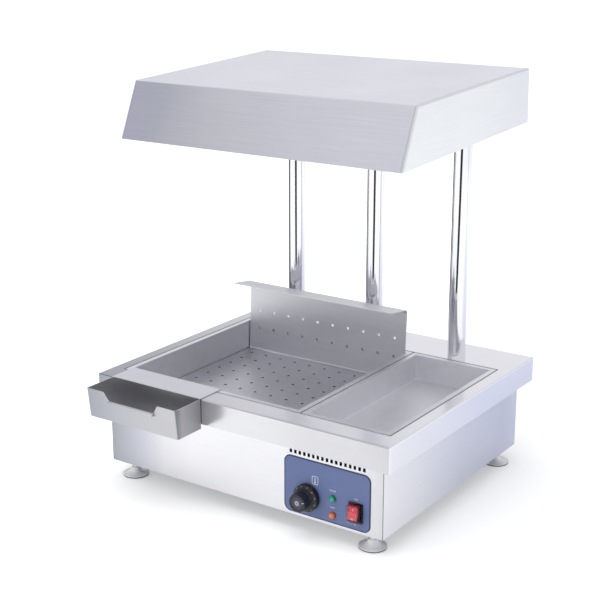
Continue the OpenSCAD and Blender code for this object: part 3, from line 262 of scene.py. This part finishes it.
grain_group.links.new(streaks.outputs["Fac"], g_out.inputs["Streaks"])
clouds = grain_group.nodes.new("ShaderNodeTexNoise")
clouds.inputs["Scale"].default_value = 5
clouds.inputs["Detail"].default_value = 2
grain_group.links.new(g_in.outputs["Place"], clouds.inputs["Vector"])
grain_group.links.new(clouds.outputs["Fac"], g_out.inputs["Clouds"])


def new_material(name, **constants):
    """An empty procedural material and its Principled shader, with the given plain values."""
    material = bpy.data.materials.new(name)
    material.use_nodes = True
    shader = material.node_tree.nodes["Principled BSDF"]
    for socket, value in constants.items():
        shader.inputs[socket.replace("_", " ")].default_value = value
    return material, material.node_tree, shader


def object_place(tree):
    """The Object coordinates, in metres."""
    return tree.nodes.new("ShaderNodeTexCoord").outputs["Object"]


def mixed(tree, fac, low, high):
    """Colour between low and high by fac. Each of the two is a colour or another socket."""
    mix = tree.nodes.new("ShaderNodeMix")
    mix.data_type = "RGBA"
    for socket, colour in ((mix.inputs["A"], low), (mix.inputs["B"], high)):
        if isinstance(colour, bpy.types.NodeSocket):
            tree.links.new(colour, socket)
        else:
            socket.default_value = colour
    tree.links.new(fac, mix.inputs["Factor"])
    return mix.outputs["Result"]


def shades(tree, fac, dark, light):
    """Colour between two colours that are written from 0 to 255."""
    return mixed(tree, fac, linear(*dark), linear(*light))


def feed(shader, **sockets):
    """Links sockets to the shader's inputs; an underscore stands for a space."""
    for name, socket in sockets.items():
        shader.id_data.links.new(socket, shader.inputs[name.replace("_", " ")])


def ranged(tree, value, low, high, start=0.0, end=1.0):
    """value mapped from start..end to low..high."""
    fit = tree.nodes.new("ShaderNodeMapRange")
    for socket, number in (("From Min", start), ("From Max", end), ("To Min", low), ("To Max", high)):
        fit.inputs[socket].default_value = number
    tree.links.new(value, fit.inputs["Value"])
    return fit.outputs["Result"]


def dented(tree, shader, height, distance, strength=1.0):
    """Feeds a bump of that height, in metres, to the shader's normal."""
    bump = tree.nodes.new("ShaderNodeBump")
    bump.inputs["Distance"].default_value = distance
    bump.inputs["Strength"].default_value = strength
    tree.links.new(height, bump.inputs["Height"])
    tree.links.new(bump.outputs["Normal"], shader.inputs["Normal"])


def grained(tree, scale, detail=3):
    """Noise from 0 to 1 on the Object coordinates."""
    noise = tree.nodes.new("ShaderNodeTexNoise")
    noise.inputs["Scale"].default_value = scale
    noise.inputs["Detail"].default_value = detail
    tree.links.new(object_place(tree), noise.inputs["Vector"])
    return noise.outputs["Fac"]


ALONG_X, ALONG_Y = (9, 520, 520), (520, 9, 520)


def toned(material, tone):
    """Multiplies the material's colour by a tone."""
    colour = material.node_tree.nodes["Principled BSDF"].inputs["Base Color"]
    material.node_tree.links.new(tinted(material.node_tree, colour.links[0].from_socket, tone), colour)


def painted_light_run(material, value, mask, *stops):
    """Paints light and shade on the material where mask is 1, by a colour ramp; each stop is a value and its
    tone.
    """
    tree = material.node_tree
    start, span = stops[0][0], stops[-1][0] - stops[0][0]
    place = maths(tree, "DIVIDE", maths(tree, "SUBTRACT", value, start), span)
    part = mixed(tree, mask, (1, 1, 1, 1), (1, 1, 1, 1))
    ramp = colour_ramp(tree, place, [((at - start) / span, tone) for at, tone in stops])
    tree.links.new(ramp, part.node.inputs["B"])
    toned(material, part)


def shade_where(material, mask, shade):
    """Tones the material by one shade where mask is 1."""
    toned(material, mixed(material.node_tree, mask, (1, 1, 1, 1), shade))


def places(material):
    """X, Y and Z of the Object coordinates."""
    split = material.node_tree.nodes.new("ShaderNodeSeparateXYZ")
    material.node_tree.links.new(object_place(material.node_tree), split.inputs[0])
    return split.outputs


def distance(tree, value, middle, other_value, other_middle):
    """Distance from an axis, by the two coordinates across it."""
    first = maths(tree, "POWER", maths(tree, "SUBTRACT", value, middle), 2)
    second = maths(tree, "POWER", maths(tree, "SUBTRACT", other_value, other_middle), 2)
    return maths(tree, "SQRT", maths(tree, "ADD", first, second))


def facing(material, axis, side):
    """1 on faces that look along the axis to that side."""
    tree = material.node_tree
    split = tree.nodes.new("ShaderNodeSeparateXYZ")
    tree.links.new(tree.nodes.new("ShaderNodeNewGeometry").outputs["True Normal"], split.inputs[0])
    return ranged(tree, split.outputs[axis], 0, 1, 0.5 * side, 0.8 * side)


def brushed(name, along, dark=(216, 216, 221), light=(234, 234, 238), gloss=(0.27, 0.4), depth=0.00005):
    """Brushed stainless sheet whose grain runs along one axis."""
    material, tree, shader = new_material(name, Metallic=1.0)
    grain = tree.nodes.new("ShaderNodeGroup")
    grain.node_tree = grain_group
    tree.links.new(object_place(tree), grain.inputs["Place"])
    grain.inputs["Stretch"].default_value = along
    colour = mixed(tree, grain.outputs["Streaks"], linear(*dark), linear(*light))
    tree.links.new(colour, shader.inputs["Base Color"])
    feed(shader, Roughness=ranged(tree, grain.outputs["Clouds"], gloss[0], gloss[1], 0.3, 0.7))
    dented(tree, shader, grain.outputs["Streaks"], depth)
    return material


def finish(material, *names):
    """Gives CAD nodes their material."""
    for name in names:
        for k in range(len(node[name].data.materials)):
            node[name].data.materials[k] = material


steel_x = brushed("brushed_steel_x", ALONG_X)
finish(steel_x, "rear_panel")
steel_y = brushed("brushed_steel_y", ALONG_Y, (238, 238, 242), (250, 250, 253), depth=0.00003)
at = places(steel_y)
# Painted reflection on faces that look to the right: darker and bluer towards the rear.
painted_light_run(steel_y, at["Y"], facing(steel_y, "X", 1), (-0.25, 1.0), (-0.1, (0.9, 0.905, 0.93, 1)),
         (0.05, (0.74, 0.76, 0.82, 1)), (0.2, (0.66, 0.68, 0.75, 1)), (0.26, (0.74, 0.76, 0.82, 1)))
front_steel = brushed("front_steel", ALONG_X, (230, 230, 233), (244, 244, 246))
at = places(front_steel)
# Painted shade and reflection on the front: darker and bluer towards the left end, under the bin, and a
# little darker at the right corner.
painted_light_run(front_steel, at["X"], facing(front_steel, "Y", -1),
         (-0.274, (0.43, 0.44, 0.48, 1)), (-0.233, (0.56, 0.57, 0.62, 1)), (-0.2, (0.68, 0.69, 0.74, 1)),
         (-0.155, 0.92), (-0.1, 1.0), (0.22, 1.0), (0.274, 0.86))
tree = front_steel.node_tree
joint = maths(tree, "GREATER_THAN", maths(tree, "ABSOLUTE", at["X"]), 0.2731)
shade_where(front_steel, joint, (0.35, 0.35, 0.35, 1))
finish(front_steel, "front_panel")
deck_steel = brushed("deck_steel", ALONG_X, (234, 234, 238), (248, 248, 251), (0.17, 0.26), 0.00004)
at, tree = places(deck_steel), deck_steel.node_tree
# Painted reflection on the top: darker and a little bluer at the front left, lighter towards the rear right.
run = maths(tree, "MULTIPLY_ADD", maths(tree, "ADD", at["Y"], 0.21), 0.6, at["X"])
painted_light_run(deck_steel, run, facing(deck_steel, "Z", 1),
         (-0.29, (0.43, 0.43, 0.47, 1)), (-0.2, (0.48, 0.48, 0.51, 1)), (-0.13, 0.59), (-0.06, 0.7),
         (0.03, 0.84), (0.14, 0.92), (0.3, 1.0))
# Painted reflection and shade on the front skirt: darker and bluer at the left end by the bin, and a little
# darker towards the right.
painted_light_run(deck_steel, at["X"], facing(deck_steel, "Y", -1),
         (-0.29, (0.38, 0.38, 0.44, 1)), (-0.25, (0.45, 0.45, 0.5, 1)), (-0.1, 0.7), (-0.03, 0.82),
         (0.05, 0.82), (0.15, 0.75), (0.29, 0.75))
# Painted reflection on the right skirt: darker and bluer towards the rear.
painted_light_run(deck_steel, at["Y"], facing(deck_steel, "X", 1),
         (-0.22, 1.0), (0.0, (0.93, 0.935, 0.96, 1)), (0.28, (0.84, 0.85, 0.9, 1)))
finish(deck_steel, "top_frame")
finish(steel_y, "left_panel", "right_panel")

# Inside work: galvanised sheet for the base, the ledge, the divider, the well and the channels,
# and zinc-plated nuts and clips, all dull grey with a faint spangle.
zinc, tree, shader = new_material("zinc", Metallic=1.0, Roughness=0.42)
spangle = tree.nodes.new("ShaderNodeTexVoronoi")
spangle.inputs["Scale"].default_value = 90
tree.links.new(object_place(tree), spangle.inputs["Vector"])
shade = tree.nodes.new("ShaderNodeSeparateColor")
tree.links.new(spangle.outputs["Color"], shade.inputs[0])
feed(shader, Base_Color=shades(tree, shade.outputs[0], (150, 153, 158), (186, 189, 194)),
     Roughness=ranged(tree, shade.outputs[1], 0.34, 0.52))
finish(zinc, "base_plate", "pan_ledge", "divider_bar", "heated_well", "element_clips", "post_rail",
       "post_lower_nuts", "post_upper_nuts", "hood_rail", "lamp_bridge", "sensor_clips", "foot_nuts",
       "pilot_nuts", "thermostat_shaft")

# Heating element: a bent steel tube that runs in loops under the pans. Its sheath has gone brown
# and blue with heat, darkest at the middle of its runs.
element, tree, shader = new_material("heated_tube", Metallic=1.0, Roughness=0.46)
scorch = grained(tree, 22, 5)
heat_colours = colour_ramp(tree, scorch, [
    (0.3, linear(58, 52, 52)), (0.5, linear(92, 80, 74)),
    (0.62, linear(84, 84, 98)), (0.75, linear(120, 108, 98))])
feed(shader, Base_Color=heat_colours, Roughness=ranged(tree, scorch, 0.36, 0.6))
dented(tree, shader, scorch, 0.0002)
finish(element, "heating_element")

# Pans: two deep-drawn stainless pans with soft satin walls. They lie loose in the deck.
satin = brushed("satin_steel", (60, 60, 60), (228, 228, 232), (242, 242, 245), (0.42, 0.54), 0.00002)
finish(satin, "large_pan", "small_pan")

# Guard plate and seasoning bin: folded stainless sheet, brushed along the folds. Both lift off.
guard_steel = brushed("guard_steel", ALONG_X, (200, 200, 205), (224, 224, 229), (0.34, 0.46))
finish(guard_steel, "drain_guard")
bin_steel = brushed("bin_steel", ALONG_X, (228, 228, 233), (248, 248, 250), (0.26, 0.38))
at, tree = places(bin_steel), bin_steel.node_tree
to_front, to_right = facing(bin_steel, "Y", -1), facing(bin_steel, "X", 1)
# Painted reflections and painted shade on the bin: its outer front darker and bluer towards the left end, its
# right wall in dark and lighter bands along its depth.
outer = maths(tree, "LESS_THAN", at["Y"], -0.25)
far_end = maths(tree, "GREATER_THAN", at["X"], -0.1)
painted_light_run(bin_steel, at["X"], maths(tree, "MULTIPLY", to_front, outer),
         (-0.27, (0.4, 0.41, 0.45, 1)), (-0.2, (0.52, 0.53, 0.56, 1)), (-0.12, 0.61), (-0.05, 0.63))
painted_light_run(bin_steel, at["Y"], maths(tree, "MULTIPLY", to_right, far_end),
         (-0.284, 0.26), (-0.276, 0.36), (-0.264, 0.54), (-0.245, 0.48), (-0.225, 0.38), (-0.216, 0.34))
# Painted shade on faces that look forward behind the front, such as the inside of the back wall.
inner_front_shade = maths(tree, "MULTIPLY", to_front, maths(tree, "SUBTRACT", 1, outer))
shade_where(bin_steel, inner_front_shade, (0.68, 0.68, 0.66, 1))
# Painted shade on every face that looks neither forward nor to the right.
other_ways_shade = maths(tree, "SUBTRACT", 1, maths(tree, "MAXIMUM", to_front, to_right))
shade_where(bin_steel, other_ways_shade, (0.64, 0.64, 0.65, 1))
finish(bin_steel, "bin_shell")
plate_steel = brushed("plate_steel", ALONG_X, (208, 208, 215), (226, 226, 230))
finish(plate_steel, "bin_hanger")

# Posts and screws: bright chromium on steel, with a trace of polishing marks.
chrome, tree, shader = new_material("chrome", Metallic=1.0)
polish = grained(tree, 40, 4)
feed(shader, Base_Color=shades(tree, polish, (226, 227, 233), (236, 236, 240)),
     Roughness=ranged(tree, polish, 0.03, 0.09))
finish(chrome, "post_left", "post_centre", "post_right", "body_screws", "hood_screws")

# Feet: cast domes on threaded studs, plated and polished to a soft shine. Their colour is painted near white
# on an almost matt surface, a painted sheen for the bright reflections of the plating, with a darker rim
# below.
cast, tree, shader = new_material("cast_foot", Metallic=0.1)
FOOT_H = 0.04
up = maths(tree, "DIVIDE", places(cast)["Z"], FOOT_H)
pits = grained(tree, 260)
foot_rim_and_painted_sheen = colour_ramp(tree, up, [
    (0.035, linear(96, 96, 102)), (0.06, linear(250, 250, 252)),
    (0.42, linear(250, 250, 252)), (0.5, linear(190, 186, 194))])
feed(shader, Base_Color=tinted(tree, foot_rim_and_painted_sheen, mixed(tree, pits, (0.92, 0.92, 0.94, 1), (1, 1, 1, 1))),
     Roughness=ranged(tree, pits, 0.16, 0.3))
finish(cast, "foot_front_left", "foot_front_right", "foot_rear_left", "foot_rear_right")

# Hood: one folded sheet for the top and the sloping front, two sides and a rear plate, brushed
# along the front. The front's finish is a little coarser, so it looks mottled.
hood_steel = brushed("hood_steel", ALONG_X, (226, 227, 235), (250, 250, 255), (0.26, 0.4), 0.00007)
at, tree = places(hood_steel), hood_steel.node_tree
to_top = facing(hood_steel, "Z", 1)
# Painted reflections: the top a shade darker, and the other faces darker and bluer towards the left end.
painted_light_run(hood_steel, at["X"], to_top, (-0.27, 0.92), (0.0, 0.95), (0.27, 0.94))
painted_light_run(hood_steel, at["X"], maths(tree, "SUBTRACT", 1, to_top),
         (-0.27, (0.7, 0.69, 0.77, 1)), (-0.2, (0.72, 0.73, 0.77, 1)), (-0.1, 0.9), (0.05, 0.97), (0.27, 1.0))
finish(hood_steel, "hood_skin", "hood_rear")
hood_side_steel = brushed("hood_side_steel", ALONG_Y, (219, 221, 224), (237, 239, 241))
# Painted shade: faces that look to the left are darker, and faces that look to the right are darker and bluer
# towards the rear.
shade_where(hood_side_steel, facing(hood_side_steel, "X", -1), (0.85, 0.85, 0.87, 1))
painted_light_run(hood_side_steel, places(hood_side_steel)["Y"], facing(hood_side_steel, "X", 1),
         (-0.1, 1.0), (0.05, 1.0), (0.22, (0.92, 0.92, 0.96, 1)))
finish(hood_side_steel, "hood_left_side", "hood_right_side")

# Lamp holders: white glazed porcelain sockets, screwed to the bridge under the hood.
porcelain, tree, shader = new_material("porcelain", Roughness=0.14, Coat_Weight=0.6, Coat_Roughness=0.05)
fleck = grained(tree, 60)
feed(shader, Base_Color=shades(tree, fleck, (226, 222, 210), (244, 242, 234)))
dented(tree, shader, fleck, 0.0002)
finish(porcelain, "lamp_holder_left", "lamp_holder_right")

# Lamp caps: brass screw caps with a rolled thread of 3.6 mm pitch.
brass, tree, shader = new_material("brass", Metallic=1.0, Roughness=0.3)
PITCH = 0.0036
thread = maths(tree, "SINE", maths(tree, "MULTIPLY", places(brass)["Z"], 2 * math.pi / PITCH))
# The colour follows the thread: painted shade in its grooves and a painted highlight on its crests.
feed(shader, Base_Color=shades(tree, ranged(tree, thread, 0, 1, -1, 1), (164, 136, 82), (222, 196, 134)))
dented(tree, shader, thread, 0.0005)
finish(brass, "lamp_caps")

# Reflector lamps: blown glass, silvered inside up to the widest ring and frosted on the front,
# with the fine rings of the pressed face. They are shown unlit.
LAMP_X, LAMP_Y, LAMP_RING = 0.122, 0.010, 0.5855
RING_GAP = 0.0026
bulb, tree, shader = new_material("reflector_glass", Coat_Weight=0.8, Coat_Roughness=0.03)
at = places(bulb)
radius = distance(tree, maths(tree, "ABSOLUTE", at["X"]), LAMP_X, at["Y"], LAMP_Y)
silvered = ranged(tree, at["Z"], 0, 1, LAMP_RING - 0.0008, LAMP_RING + 0.0008)
rings = maths(tree, "SINE", maths(tree, "MULTIPLY", radius, 2 * math.pi / RING_GAP))
# The face's colour follows its rings: painted shade in their hollows.
face = shades(tree, ranged(tree, rings, 0, 1, -1, 1), (226, 222, 208), (244, 241, 230))
feed(shader, Base_Color=mixed(tree, silvered, face, linear(224, 226, 230)), Metallic=silvered,
     Roughness=ranged(tree, silvered, 0.4, 0.1))
dented(tree, shader, maths(tree, "MULTIPLY", rings, maths(tree, "SUBTRACT", 1, silvered)), 0.0002)
finish(bulb, "lamp_left", "lamp_right")

# Control panel's film: matt blue polyester with fine grain and a darker printed edge, stuck to the
# front panel and cut out round the dial, the pilots and the switch.
FILM_X, FILM_Z, FILM_W, FILM_H, FILM_R = 0.172, 0.0805, 0.160, 0.096, 0.012
FILM_FACE = -0.2048
film, tree, shader = new_material("blue_film", Roughness=0.45)
offset = tree.nodes.new("ShaderNodeVectorMath")
offset.operation = "SUBTRACT"
tree.links.new(object_place(tree), offset.inputs[0])
offset.inputs[1].default_value = (FILM_X, FILM_FACE, FILM_Z)
folded = tree.nodes.new("ShaderNodeVectorMath")
folded.operation = "ABSOLUTE"
tree.links.new(offset.outputs[0], folded.inputs[0])
core = tree.nodes.new("ShaderNodeVectorMath")
core.operation = "SUBTRACT"
tree.links.new(folded.outputs[0], core.inputs[0])
core.inputs[1].default_value = (FILM_W / 2 - FILM_R, 1, FILM_H / 2 - FILM_R)
beyond = tree.nodes.new("ShaderNodeVectorMath")
beyond.operation = "MAXIMUM"
tree.links.new(core.outputs[0], beyond.inputs[0])
reach = tree.nodes.new("ShaderNodeVectorMath")
reach.operation = "LENGTH"
tree.links.new(beyond.outputs[0], reach.inputs[0])
edge = ranged(tree, reach.outputs["Value"], 0, 1, FILM_R - 0.0023, FILM_R - 0.0015)
weave = grained(tree, 900, 2)
blue = shades(tree, weave, (98, 113, 158), (112, 127, 172))
feed(shader, Base_Color=mixed(tree, edge, blue, linear(44, 50, 92)), Roughness=ranged(tree, weave, 0.4, 0.56))
dented(tree, shader, weave, 0.00003)
finish(film, "control_overlay")

# Print on the film: pale ink with a thermometer in a round-cornered frame, the words for the two
# pilots, and ON and OFF at the switch. Each mark is a thin closed layer on the film.
INK_T = 0.00005


def lay_text(ink, words, size, place, thick=INK_T):
    """Adds lettering to a bmesh, centred on its middle and turned and moved by the matrix place."""
    letters = bpy.data.curves.new("words", "FONT")
    letters.body = words
    letters.size = size
    letters.extrude = thick
    letters.align_x, letters.align_y = "CENTER", "CENTER"
    holder = bpy.data.objects.new("words", letters)
    flat = bpy.data.meshes.new_from_object(holder)
    flat.transform(place)
    ink.from_mesh(flat)
    bpy.data.objects.remove(holder)


def facing_front(x, y, z):
    """Turns a flat drawing so that it faces the front, and moves its middle to the given point."""
    return Matrix.Translation((x, y, z)) @ Matrix.Rotation(math.radians(90), 4, "X")


def thicken(drawing, faces, thick=INK_T):
    """Makes a closed layer of a flat drawing in the XY plane."""
    pulled = bmesh.ops.extrude_face_region(drawing, geom=faces, use_keep_orig=True)
    corners = [e for e in pulled["geom"] if isinstance(e, bmesh.types.BMVert)]
    bmesh.ops.translate(drawing, vec=(0, 0, thick), verts=corners)
    bmesh.ops.recalc_face_normals(drawing, faces=drawing.faces)


def place_piece(name, drawing, material, body):
    """Makes a finished bmesh a piece that rides on a body."""
    mesh = bpy.data.meshes.new(name)
    drawing.to_mesh(mesh)
    drawing.free()
    mesh.materials.append(material)
    piece = bpy.data.objects.new(name, mesh)
    bpy.context.scene.collection.objects.link(piece)
    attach(piece, body)
    return piece


def framed_mark(width, height, corner, line):
    """A flat round-cornered frame of the given line width, as a bmesh lying in the XY plane."""
    drawing = bmesh.new()
    bmesh.ops.create_grid(drawing, x_segments=1, y_segments=1, size=0.5)
    bmesh.ops.scale(drawing, vec=(width, height, 1), verts=drawing.verts)
    bmesh.ops.bevel(drawing, geom=drawing.verts[:], offset=corner, offset_type="OFFSET", segments=6,
                    profile=0.5, affect="VERTICES", material=-1)
    bmesh.ops.inset_individual(drawing, faces=drawing.faces[:], thickness=line)
    inner = [f for f in drawing.faces if len(f.verts) > 4]
    bmesh.ops.delete(drawing, geom=inner, context="FACES")
    thicken(drawing, drawing.faces[:])
    return drawing


pale_ink, tree, shader = new_material("pale_ink", Roughness=0.5)
feed(shader, Base_Color=shades(tree, grained(tree, 1500, 2), (218, 222, 240), (246, 248, 254)))

MARK_X, MARK_Z = 0.1505, 0.0965
frame_mark = framed_mark(0.0116, 0.0142, 0.0022, 0.0009)
bmesh.ops.transform(frame_mark, matrix=facing_front(MARK_X, FILM_FACE, MARK_Z), verts=frame_mark.verts)
place_piece("print_frame", frame_mark, pale_ink, "chassis")
stem = bmesh.new()
bmesh.ops.create_circle(stem, cap_ends=True, segments=20, radius=0.0016,
                        matrix=Matrix.Translation((0, -0.0036, 0)))
bmesh.ops.create_grid(stem, x_segments=1, y_segments=1, size=0.5,
                      matrix=Matrix.Translation((0, 0.0012, 0)) @ Matrix.Diagonal((0.0014, 0.0068, 1, 1)))
for face_part in stem.faces[:]:
    thicken(stem, [face_part])
bmesh.ops.transform(stem, matrix=facing_front(MARK_X, FILM_FACE, MARK_Z), verts=stem.verts)
place_piece("print_thermometer", stem, pale_ink, "chassis")
words = bmesh.new()
for text, x, z, size in (("POWER", 0.1835, 0.0872, 0.0034), ("HEAT", 0.1835, 0.0590, 0.0034),
                         ("ON", 0.226, 0.0840, 0.0044), ("OFF", 0.226, 0.0412, 0.0044)):
    lay_text(words, text, size, facing_front(x, FILM_FACE, z))
place_piece("print_words", words, pale_ink, "chassis")

# Dial: a black phenolic skirt with numbers moulded in and filled with pale gold, and a fluted grip
# pressed on the thermostat's shaft. The grip's end holds a small pressed-in cap.
DIAL_X, DIAL_Z = 0.1375, 0.066
black, tree, shader = new_material("black_plastic", Coat_Weight=0.08, Coat_Roughness=0.2)
pebble = grained(tree, 1400, 2)
feed(shader, Base_Color=shades(tree, pebble, (10, 9, 14), (20, 19, 27)),
     Roughness=ranged(tree, pebble, 0.26, 0.42))
dented(tree, shader, pebble, 0.00004)
finish(black, "dial_skirt", "switch_housing", "cable_gland", "gland_nut")
grip, tree, shader = new_material("grip_plastic", Coat_Weight=0.05, Coat_Roughness=0.15)
rub = grained(tree, 700)
feed(shader, Base_Color=shades(tree, rub, (20, 19, 28), (36, 35, 49)), Roughness=ranged(tree, rub, 0.24, 0.4))
dented(tree, shader, rub, 0.00005)
finish(grip, "knob_grip")

gold_ink, tree, shader = new_material("gold_ink", Roughness=0.4)
feed(shader, Base_Color=shades(tree, grained(tree, 1200), (136, 128, 108), (178, 168, 144)))
CONE_R, CONE_Y, CONE_TILT = 0.02025, -0.21582, math.radians(56.3)
numbers = bmesh.new()
for k, text in enumerate(("0", "30", "40", "50", "60", "70", "80", "90", "100", "110")):
    turned = Matrix.Translation((DIAL_X, 0, DIAL_Z)) @ Matrix.Rotation(math.radians(30 * k - 135), 4, "Y")
    on_cone = turned @ Matrix.Translation((0, CONE_Y, CONE_R)) @ Matrix.Rotation(CONE_TILT, 4, "X")
    lay_text(numbers, text, 0.0033, on_cone)
place_piece("dial_numbers", numbers, gold_ink, "dial")

cap_black, tree, shader = new_material("cap_plastic", Roughness=0.3, Coat_Weight=0.3, Coat_Roughness=0.1)
CAP_R, CAP_BACK = 0.0098, -0.2352
at = places(cap_black)
out = maths(tree, "DIVIDE", distance(tree, at["X"], DIAL_X, at["Z"], DIAL_Z), CAP_R)
# The colour runs in rings round the middle: a dark dot in the centre dimple, painted shade; a pale boss; a
# dark ring over the recess; and a lighter line on the raised rim, a painted highlight.
rings = colour_ramp(tree, out, [
    (0.06, linear(60, 62, 76)), (0.14, linear(176, 178, 204)), (0.36, linear(158, 162, 192)),
    (0.48, linear(70, 72, 92)), (0.8, linear(44, 45, 60)), (0.95, linear(84, 87, 110))])
rub = mixed(tree, grained(tree, 500), (0.86, 0.86, 0.86, 1), (1, 1, 1, 1))
feed(shader, Base_Color=tinted(tree, rings, rub))
cap = bmesh.new()
profile = [(0, -0.0003), (0.0011, -0.0003), (0.0014, -0.0012), (0.0032, -0.0012), (0.0038, -0.0006),
           (0.0078, -0.0006), (0.0084, -0.0013), (0.0094, -0.0013), (CAP_R, -0.0009), (CAP_R, 0.0)]
last = None
for r, y in profile:
    corner = cap.verts.new((DIAL_X + r, CAP_BACK + y, DIAL_Z))
    if last:
        cap.edges.new((last, corner))
    last = corner
bmesh.ops.spin(cap, geom=cap.verts[:] + cap.edges[:], cent=(DIAL_X, 0, DIAL_Z), axis=(0, 1, 0),
               dvec=(0, 0, 0), angle=2 * math.pi, steps=40, use_merge=True)
bmesh.ops.remove_doubles(cap, verts=cap.verts, dist=1e-6)
bmesh.ops.holes_fill(cap, edges=[e for e in cap.edges if e.is_boundary], sides=0)
bmesh.ops.recalc_face_normals(cap, faces=cap.faces)
place_piece("knob_cap", cap, cap_black, "dial")
pointer = bmesh.new()
bmesh.ops.create_cube(pointer, size=1, matrix=Matrix.Translation((DIAL_X, 0, DIAL_Z))
                      @ Matrix.Rotation(math.radians(75), 4, "Y")
                      @ Matrix.Translation((0, -0.23682, 0.0121))
                      @ Matrix.Diagonal((0.0011, 0.0002, 0.0032, 1)))
bmesh.ops.bevel(pointer, geom=pointer.edges[:], offset=0.00006, segments=1, profile=0.5,
                affect="EDGES", material=-1)
place_piece("knob_pointer", pointer, pale_ink, "dial")

# Pilot lights: clear moulded lenses, green above orange, each painted lighter at the middle of its dome, a
# painted highlight, and darker at its edge, painted shade.
PILOT_X, LENS_R = 0.184, 0.006
WAVE_H, WAVE_TURN = 0.0004, 6000


def lens_plastic(name, z, deep, bright):
    """A tinted lens with fine rings pressed in its back, painted brighter at the middle, a painted highlight,
    and darker at its edge, painted shade.
    """
    material, tree, shader = new_material(name, Roughness=0.12, Coat_Weight=0.6, Coat_Roughness=0.03)
    at = places(material)
    out = distance(tree, at["X"], PILOT_X, at["Z"], z)
    wave = maths(tree, "MULTIPLY", maths(tree, "SINE", maths(tree, "MULTIPLY", out, WAVE_TURN)), WAVE_H)
    rings = colour_ramp(tree, maths(tree, "DIVIDE", maths(tree, "ADD", out, wave), LENS_R), [
        (0.1, linear(*bright)), (0.75, linear(*deep)), (1.0, linear(*[c * 0.7 for c in deep]))])
    feed(shader, Base_Color=rings)
    return material


finish(lens_plastic("green_lens", 0.0745, (20, 134, 116), (64, 186, 158)), "pilot_green")
finish(lens_plastic("orange_lens", 0.0465, (206, 98, 48), (244, 150, 88)), "pilot_orange")

# Switch: a red see-through rocker with the bar and ring of its two positions, in a black bezel.
SWITCH_X, SWITCH_Z = 0.226, 0.0625
SIGN_Z = 0.0075
red, tree, shader = new_material("red_lens", Roughness=0.2, Coat_Weight=0.5, Coat_Roughness=0.05)
at = places(red)
across = maths(tree, "ABSOLUTE", maths(tree, "SUBTRACT", at["X"], SWITCH_X))
up = maths(tree, "SUBTRACT", at["Z"], SWITCH_Z)
bar_up = maths(tree, "LESS_THAN", maths(tree, "ABSOLUTE", maths(tree, "SUBTRACT", up, SIGN_Z)), 0.0022)
bar = maths(tree, "MULTIPLY", maths(tree, "LESS_THAN", across, 0.0006), bar_up)
ring_r = distance(tree, across, 0, up, -SIGN_Z)
ring = maths(tree, "LESS_THAN", maths(tree, "ABSOLUTE", maths(tree, "SUBTRACT", ring_r, 0.0018)), 0.0005)
window = maths(tree, "MULTIPLY", ranged(tree, across, 1, 0, 0.0058, 0.0082),
               ranged(tree, maths(tree, "ABSOLUTE", up), 1, 0, 0.0095, 0.0125))
lens = shades(tree, window, (190, 22, 46), (246, 52, 76))
feed(shader, Base_Color=mixed(tree, maths(tree, "MAXIMUM", bar, ring), lens, linear(250, 214, 220)))
shade_where(red, facing(red, "X", 1), (0.16, 0.13, 0.16, 1))
shade_where(red, facing(red, "X", -1), (0.16, 0.13, 0.16, 1))
finish(red, "rocker")
vinyl, tree, shader = new_material("clear_vinyl", Roughness=0.12, Transmission_Weight=1.0, IOR=1.25)
feed(shader, Base_Color=shades(tree, grained(tree, 120), (236, 226, 230), (250, 246, 248)))
finish(vinyl, "switch_cover")

# Thermostat inside the body: a dark moulding, a copper feeler and tube, and the wiring: nylon terminal
# block and leads in braided glass sleeves.
bakelite, tree, shader = new_material("brown_moulding", Roughness=0.5)
feed(shader, Base_Color=shades(tree, grained(tree, 300), (52, 42, 38), (74, 60, 52)))
finish(bakelite, "thermostat")
copper, tree, shader = new_material("copper", Metallic=1.0)
tarnish = grained(tree, 60)
feed(shader, Base_Color=shades(tree, tarnish, (150, 92, 70), (214, 140, 104)),
     Roughness=ranged(tree, tarnish, 0.28, 0.5))
finish(copper, "sensor_bulb")
nylon, tree, shader = new_material("nylon", Roughness=0.45)
feed(shader, Base_Color=shades(tree, grained(tree, 200), (222, 218, 204), (240, 237, 226)))
finish(nylon, "terminal_block")
sleeve, tree, shader = new_material("braided_sleeve", Roughness=0.75)
braid = tree.nodes.new("ShaderNodeTexVoronoi")
braid.inputs["Scale"].default_value = 800
tree.links.new(object_place(tree), braid.inputs["Vector"])
feed(shader, Base_Color=shades(tree, braid.outputs["Distance"], (232, 226, 210), (186, 178, 158)))
dented(tree, shader, braid.outputs["Distance"], 0.0003)
finish(sleeve, "lamp_lead_left", "lamp_lead_right", "control_loom")
